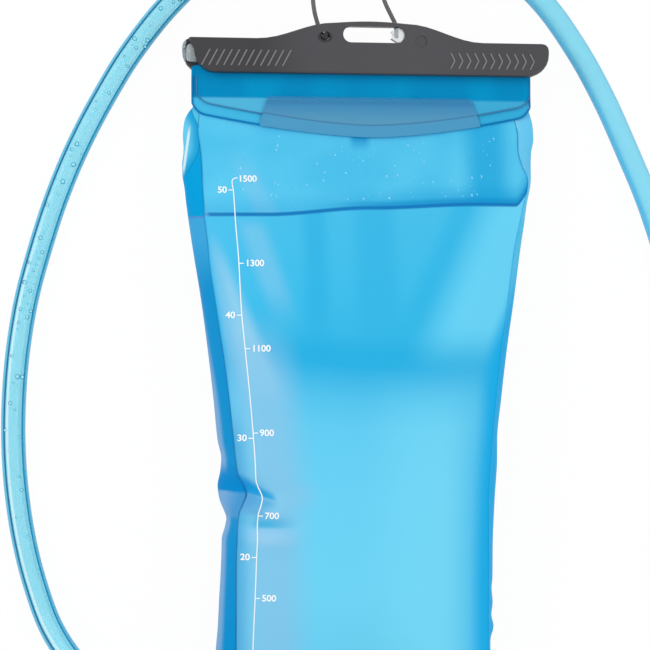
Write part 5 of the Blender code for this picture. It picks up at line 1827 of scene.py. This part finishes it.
@dataclass
class PrintedScale:
    """The white graduated line with its ticks and numbers, printed on the front film."""

    form: BagForm
    lift: float = 0.12
    width: float = 0.45
    thick: float = 0.05
    number_size: float = 3.95
    number_weight: float = 0.095
    number_depth: float = 0.025
    line_steps: int = 200
    stretch: float = 1.04
    tick: float = 2.1
    gap: float = 0.7
    line: tuple = (
        (112.6, -62.0), (109.4, -61.5), (103.6, -61.2), (98.2, -61.0), (92.0, -60.7), (79.5, -59.9),
        (57.4, -59.1), (45.1, -58.1), (17.9, -55.6), (-0.9, -54.1), (-9.7, -53.5), (-18.5, -53.0),
        (-22.0, -51.8), (-26.3, -50.2), (-29.8, -51.0), (-33.4, -52.2), (-50.0, -52.8),
        (-70.2, -53.5), (-92.2, -54.4), (-130.0, -55.0), (-160.0, -55.2))
    bend: tuple = ((-59.4, 114.9), (-60.6, 114.8), (-61.4, 114.4), (-61.9, 113.6))
    right_marks: tuple = ((114.4, "1500"), (76.7, "1300"), (39.1, "1100"), (2.1, "900"), (-34.2, "700"),
                          (-70.3, "500"), (-106.3, "300"), (-142.3, "100"))
    left_marks: tuple = ((109.4, "50"), (53.8, "40"), (-0.2, "30"), (-52.4, "20"), (-107.0, "10"))

    def build(self) -> bpy.types.Object:
        """Make the print as one thin piece on the film.

        Returns:
            The print.
        """
        shape = Shape()
        self.add_line(shape)
        for marks, way in ((self.right_marks, 1), (self.left_marks, -1)):
            for y, text in marks:
                x = self.line_at(y)
                if y < self.line[0][0]:
                    self.add_strip(shape, [(x, y), (x + way * self.tick, y)])
                self.add_number(shape, text, x + way * (self.tick + self.gap), y, way)
        piece = shape.piece("printed_scale", PrintFinish().make())
        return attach(piece, Body.BAG.value)

    def line_at(self, y: float) -> float:
        """Return where the line lies across the bag."""
        return along([(-k_y, k_x) for k_y, k_x in self.line], 1, -y)

    def on_film(self, x: float, y: float, lift: float) -> Vector:
        """Return a place just over the film."""
        depth = self.form.bar_bottom - y
        return self.form.point(x, depth, self.form.height(x, depth) + self.lift + lift)

    def add_line(self, shape: Shape) -> None:
        """Add the long line with the bend at its top.

        Args:
            shape: The print's shape.
        """
        top, bottom = self.line[0][0], self.line[-1][0]
        steps = self.line_steps
        heights = [top + (bottom - top) * k / steps for k in range(steps + 1)]
        self.add_strip(shape, list(self.bend) + [(self.line_at(y), y) for y in heights])

    def add_strip(self, shape: Shape, path: Sequence[tuple[float, float]]) -> None:
        """Add a stroke of print.

        Args:
            shape: The print's shape.
            path: X and Y of points along the stroke.
        """
        half = self.width / 2
        ends = []
        for k, (x, y) in enumerate(path):
            ahead = path[min(k + 1, len(path) - 1)]
            behind = path[max(k - 1, 0)]
            run = Vector((ahead[0] - behind[0], ahead[1] - behind[1])).normalized()
            ends.append(((x + half * run.y, y - half * run.x), (x - half * run.y, y + half * run.x)))

        def place(u: float, v: float) -> Vector:
            """Return a point of the stroke."""
            high, low = ends[round(v * (len(ends) - 1))]
            return self.on_film(*(a + (b - a) * (1 - u) for a, b in zip(high, low)), self.thick)

        shape.slab(place, 2, len(path) - 1, self.thick * MM)

    def add_number(self, shape: Shape, text: str, x: float, y: float, way: int) -> None:
        """Add a number of the scale.

        Args:
            shape: The print's shape.
            text: Its digits.
            x: Where the digits start, or end on the left.
            y: Their middle height.
            way: 1 to the right of the line and -1 to its left.
        """
        curve = bpy.data.curves.new(f"number_{text}", "FONT")
        curve.body = text
        curve.size = self.number_size
        curve.offset = self.number_weight
        curve.extrude = self.number_depth
        curve.align_x = "LEFT" if way > 0 else "RIGHT"
        curve.align_y = "CENTER"
        holder = bpy.data.objects.new(curve.name, curve)
        bpy.context.scene.collection.objects.link(holder)
        bpy.context.view_layer.update()
        drawn = holder.evaluated_get(bpy.context.evaluated_depsgraph_get())
        mesh = bpy.data.meshes.new_from_object(drawn)
        base = len(shape.points)
        for corner in mesh.vertices:
            place = corner.co
            shape.points.append(self.on_film(x + self.stretch * place.x, y + place.y, place.z))
        for polygon in mesh.polygons:
            shape.face(0, *(base + k for k in polygon.vertices))
        bpy.data.objects.remove(holder)
        bpy.data.meshes.remove(mesh)


@dataclass
class Droplets:
    """Small drops on the film above the water line."""

    form: BagForm
    count: int = 120
    seed: int = 11
    low: float = 101.0
    high: float = 134.0
    left: float = -68.0
    right: float = 58.0
    above: float = 3.0
    rise_power: float = 1.5
    size_power: int = 3
    tilt: float = 0.03
    tilt_from: float = -60.0
    least: float = 0.18
    spread: float = 0.34
    lift: float = 0.05
    tallest: float = 1.9
    flatness: float = 0.35

    def build(self) -> bpy.types.Object:
        """Scatter the drops, most of them just over the water line.

        Returns:
            The drops as one piece.
        """
        draw = random.Random(self.seed)
        shape = Shape()
        for _ in range(self.count):
            x = draw.uniform(self.left, self.right)
            rise = draw.random() ** self.rise_power
            line = self.low + self.tilt * (x - self.tilt_from)
            y = line + self.above + rise * (self.high - line - self.above)
            size = self.least + self.spread * draw.random() ** self.size_power
            depth = self.form.bar_bottom - y
            middle = self.form.point(x, depth, self.form.height(x, depth) + self.lift)
            tall = size * draw.uniform(1.0, self.tallest)
            shape.bead(middle, (size * MM, tall * MM, self.flatness * size * MM))
        drop = PlasticFinish("drop_water", "#78d3f5", roughness=0.2, grain=0.0).make()
        return settle(shape.piece("film_drops", drop), Body.BAG, "water")


@dataclass
class DrinkTube:
    """The clear drink tube from the plug's barb to the bite valve, with its air bubbles."""

    radius: float = 5.5 * MM
    bore: float = 3.7 * MM
    step: float = 3.0 * MM
    sides: int = 36
    exit: tuple = (-0.0172, -0.1220, 0.0724)
    route: tuple = (
        (-0.0172, -0.1220, 0.0724), (-0.0320, -0.1220, 0.0724), (-0.0470, -0.1220, 0.0722),
        (-0.0660, -0.1225, 0.0668), (-0.0840, -0.1222, 0.0555), (-0.1010, -0.1195, 0.0420),
        (-0.1170, -0.1130, 0.0295), (-0.1305, -0.1015, 0.0195), (-0.1410, -0.0860, 0.0117),
        (-0.1480, -0.0670, 0.0070), (-0.1530, -0.0470, 0.0055), (-0.1562, -0.0260, 0.0055),
        (-0.1577, -0.0050, 0.0055), (-0.1575, 0.0160, 0.0055), (-0.1557, 0.0380, 0.0055),
        (-0.1519, 0.0610, 0.0055), (-0.1461, 0.0830, 0.0055), (-0.1387, 0.1060, 0.0055),
        (-0.1295, 0.1285, 0.0055), (-0.1180, 0.1510, 0.0055), (-0.1040, 0.1740, 0.0055),
        (-0.0855, 0.1970, 0.0055), (-0.0620, 0.2180, 0.0055), (-0.0330, 0.2320, 0.0055),
        (0.0000, 0.2375, 0.0055), (0.0330, 0.2335, 0.0055), (0.0610, 0.2205, 0.0055),
        (0.0848, 0.2002, 0.0055), (0.1020, 0.1773, 0.0055), (0.1151, 0.1543, 0.0055),
        (0.1259, 0.1310, 0.0055), (0.1358, 0.1080, 0.0055), (0.1440, 0.0840, 0.0055),
        (0.1505, 0.0600, 0.0055), (0.1545, 0.0360, 0.0062), (0.1563, 0.0140, 0.0080),
        (0.1570, -0.0080, 0.0095), (0.1572, -0.0280, 0.0099), (0.1572, -0.0480, 0.0099))
    bend_low: float = 0.012
    bend_high: float = 0.0715
    bubbles: int = 120
    bubble_least: float = 0.26 * MM
    bubble_spread: float = 0.92 * MM
    bubble_sunk: float = 0.5
    bubble_turn: float = 0.8
    bubble_power: int = 2
    floor_height: float = 5.6 * MM
    seed: int = 5

    def build(self) -> list[bpy.types.Object]:
        """Make the tube along its route, and its bubbles.

        Returns:
            The pieces.
        """
        route = smooth_route(self.route, self.step)
        outer = tube_rings(route, self.radius, self.sides)
        inner = tube_rings(route, self.bore, self.sides)
        shape = self.welded(outer, inner)
        wall = TubeFinish().make()
        bore = ClearFinish("tube_bore", "#9fe6fb", "#5fbfe6", alpha=0.05, edge_alpha=0.12).make()
        tube = shape.piece("drink_tube_clear", wall, bore)
        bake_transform(tube)
        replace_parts(tube, "drink_tube", "drink_tube_lead")
        round(route_length(route), 3)
        return [tube, self.build_bubbles(route)]

    def welded(self, outer: list[list[Vector]], inner: list[list[Vector]]) -> Shape:
        """Return the wall and the bore as one closed skin.

        Args:
            outer: Rings of the wall.
            inner: Rings of the bore.

        Returns:
            The skin, with the bore in the second slot.
        """
        shape = Shape()
        count = self.sides
        last = len(outer) - 1
        for loops, slot in ((outer, 0), (inner, 1)):
            shape.rings(loops, slot, caps=False)
        bore = (last + 1) * count
        for ring in (0, last):
            for i in range(count):
                a = ring * count + i
                b = ring * count + (i + 1) % count
                shape.face(0, a, b, bore + b, bore + a)
        return shape

    def build_bubbles(self, route: Sequence[Vector]) -> bpy.types.Object:
        """Scatter air bubbles in the top of the wall, on the stretch along the floor.

        Args:
            route: Points of the tube's centre line.

        Returns:
            The bubbles as one piece.
        """
        draw = random.Random(self.seed)
        shape = Shape()
        flat = [k for k, point in enumerate(route[:-1]) if point.z < self.floor_height and point.x < 0.0]
        for _ in range(self.bubbles):
            k = draw.choice(flat)
            size = self.bubble_least + self.bubble_spread * draw.random() ** self.bubble_power
            ahead = (route[k + 1] - route[k]).normalized()
            across = Vector((ahead.y, -ahead.x, 0.0))
            turn = draw.uniform(-self.bubble_turn, self.bubble_turn)
            reach = self.radius - self.bubble_sunk * size
            middle = route[k] + reach * (math.sin(turn) * across + math.cos(turn) * Vector((0, 0, 1)))
            shape.bead(middle, (size, size, size))
        return settle(shape.piece("tube_bubbles", BubbleFinish().make()), Body.BAG, "blue_tube")


@dataclass
class HangCord:
    """The thin hang cord through the bar, with its stopper knot."""

    radius: float = 1.0 * MM
    step: float = 1.5 * MM
    roundness: int = 4
    exit: tuple = (-0.0199, 0.1790, 0.0254)
    route: tuple = (
        (-0.0199, 0.1790, 0.0254), (-0.0200, 0.1794, 0.0236), (-0.0204, 0.1806, 0.0222),
        (-0.0211, 0.1828, 0.0214), (-0.0221, 0.1860, 0.0210), (-0.0232, 0.1905, 0.0204),
        (-0.0238, 0.1960, 0.0196), (-0.0236, 0.2030, 0.0182), (-0.0215, 0.2100, 0.0168),
        (-0.0165, 0.2155, 0.0156), (-0.0090, 0.2180, 0.0150), (-0.0015, 0.2160, 0.0152),
        (0.0040, 0.2105, 0.0162), (0.0072, 0.2035, 0.0176), (0.0092, 0.1960, 0.0190),
        (0.0118, 0.1900, 0.0202), (0.0138, 0.1855, 0.0210), (0.0140, 0.1825, 0.0216),
        (0.0137, 0.1806, 0.0228), (0.0136, 0.1798, 0.0249))
    knot: tuple = (-0.0199, 0.1790, 0.0284)
    knot_size: float = 0.44 * MM
    knot_stretch: float = 1.3
    knot_strand: float = 0.90 * MM
    knot_height: float = 1.6
    knot_steps: int = 72
    knot_sides: int = 10

    def build(self) -> list[bpy.types.Object]:
        """Make the cord and its knot, riding on the bar.

        Returns:
            The pieces.
        """
        finish = CordFinish("grey_braid", "#4d4d50", "#77777b").make()
        route = smooth_route(self.route, self.step)
        curve = bpy.data.curves.new("hang_cord_braid", "CURVE")
        curve.dimensions = "3D"
        curve.bevel_depth = self.radius
        curve.bevel_resolution = self.roundness
        curve.use_fill_caps = True
        spline = curve.splines.new("POLY")
        spline.points.add(len(route) - 1)
        for point, place in zip(spline.points, route):
            point.co = (*place, 1.0)
        curve.materials.append(finish)
        cord = bpy.data.objects.new("hang_cord_braid", curve)
        bpy.context.scene.collection.objects.link(cord)
        settle(cord, Body.BAR, "grey_cord", "hang_cord")
        round(route_length(route), 3)
        # The knot's braid is darker than the cord: painted shade of the hole it sits in.
        return [cord, self.build_knot(CordFinish("knot_braid", "#29292b", "#3c3c3f").make())]

    def build_knot(self, finish: bpy.types.Material) -> bpy.types.Object:
        """Tie the stopper knot in the bar's hole.

        Args:
            finish: The braid's material.

        Returns:
            The knot.
        """
        shape = Shape()
        route = []
        for k in range(self.knot_steps):
            t = 2 * math.pi * k / self.knot_steps
            loop = Vector((self.knot_stretch * (math.sin(t) + 2 * math.sin(2 * t)),
                           math.cos(t) - 2 * math.cos(2 * t), -self.knot_height * math.sin(3 * t)))
            route.append(Vector(self.knot) + self.knot_size * loop)
        shape.tube(route + route[:1], self.knot_strand, self.knot_sides)
        return settle(shape.piece("hang_cord_knot", finish), Body.BAR, "grey_cord", "cord_knot")


@dataclass
class CoilSpring:
    """A steel coil between the bag and a piece that moves in it."""

    name: str
    node: str
    body: Body
    foot: tuple
    axis: tuple
    radius: float
    rise: float
    turns: float
    wire: float = 0.28 * MM
    seat: float = 0.7 * MM
    turn_steps: int = 28
    sides: int = 8

    def build(self, finish: bpy.types.Material) -> bpy.types.Object:
        """Make the coil.

        Args:
            finish: The wire's material.

        Returns:
            The coil.
        """
        axis = Vector(self.axis)
        first = axis.orthogonal().normalized()
        second = axis.cross(first)
        steps = round(self.turn_steps * self.turns)
        corners = [2 * math.pi * i / self.sides for i in range(self.sides)]
        loops = []
        for k in range(steps + 1):
            angle = 2 * math.pi * self.turns * k / steps
            radial = math.cos(angle) * first + math.sin(angle) * second
            middle = Vector(self.foot) + self.radius * radial + axis * (self.rise * k / steps)
            loops.append([middle + self.wire * (math.cos(a) * radial + math.sin(a) * axis)
                          for a in corners])
        shape = Shape()
        shape.rings(loops)
        piece = shape.piece(self.name, finish)
        end = Vector(self.foot) + (self.rise + self.seat) * axis
        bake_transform(piece)
        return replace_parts(piece, self.node)


@dataclass
class PortSprings:
    """The springs behind the shut-off plunger and the release button."""

    coils: tuple = (
        CoilSpring("plunger_coil", "poppet_spring", Body.PLUNGER, (-0.0046, -0.1220, 0.0350), (0, 0, 1),
                   radius=4.5 * MM, rise=3.2 * MM, turns=3.5),
        CoilSpring("button_coil", "button_spring", Body.BUTTON, (-0.0046, -0.1350, 0.0609), (0, -1, 0),
                   radius=2.4 * MM, rise=1.7 * MM, turns=2.5))

    def build(self) -> list[bpy.types.Object]:
        """Make both coils."""
        finish = SteelFinish("spring_wire", "#a9a9ac").make()
        return [coil.build(finish) for coil in self.coils]


@dataclass
class Mouldings:
    """The solids that keep their shape: bar, rail, anchor, port, plug and bite valve."""

    bars: tuple = ("slide_bar",)
    plastics: tuple = ("port_socket", "port_retainer", "poppet", "plug_elbow", "valve_stem",
                       "shutoff_collar")
    silicones: tuple = ("release_button", "bite_sheath")
    rubbers: tuple = ("poppet_seal", "plug_seal", "stem_seal")
    clears: tuple = ("closure_rail", "cord_anchor", "port_flange")

    def build(self) -> None:
        """Give each solid its finish."""
        finishes = ((self.bars, BarFinish("satin_bar")),
                    (self.plastics, PlasticFinish("satin_grey", "#48474a", roughness=0.42)),
                    (self.silicones, PlasticFinish("soft_blue", "#2f9bd6", roughness=0.5, grain=0.05)),
                    (self.rubbers, PlasticFinish("black_seal", "#1b1b1c", roughness=0.55)),
                    (self.clears, ClearFinish("clear_moulding", "#dfe7ea", "#b9c7cd", alpha=0.35,
                                              edge_alpha=0.85)))
        for names, finish in finishes:
            material = finish.make()
            for name in names:
                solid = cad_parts[name]
                for slot in solid.material_slots:
                    slot.material = material
                LOG.info("finish %s on %s", finish.name, name)


def main() -> None:
    """Build the studio and every piece, in order."""
    logging.basicConfig(level=logging.INFO, format="%(name)s: %(message)s")
    form = BagForm()
    Studio().build()
    made = DrinkTube().build()
    made += HangCord().build()
    made += FilmBag(form).build()
    made += FoldedMouth(form).build()
    made.append(PrintedScale(form).build())
    made.append(Droplets(form).build())
    made += PortSprings().build()
    Mouldings().build()
    for piece in made:
        LOG.info("piece %s", piece.name)


if __name__ == "__main__":
    main()
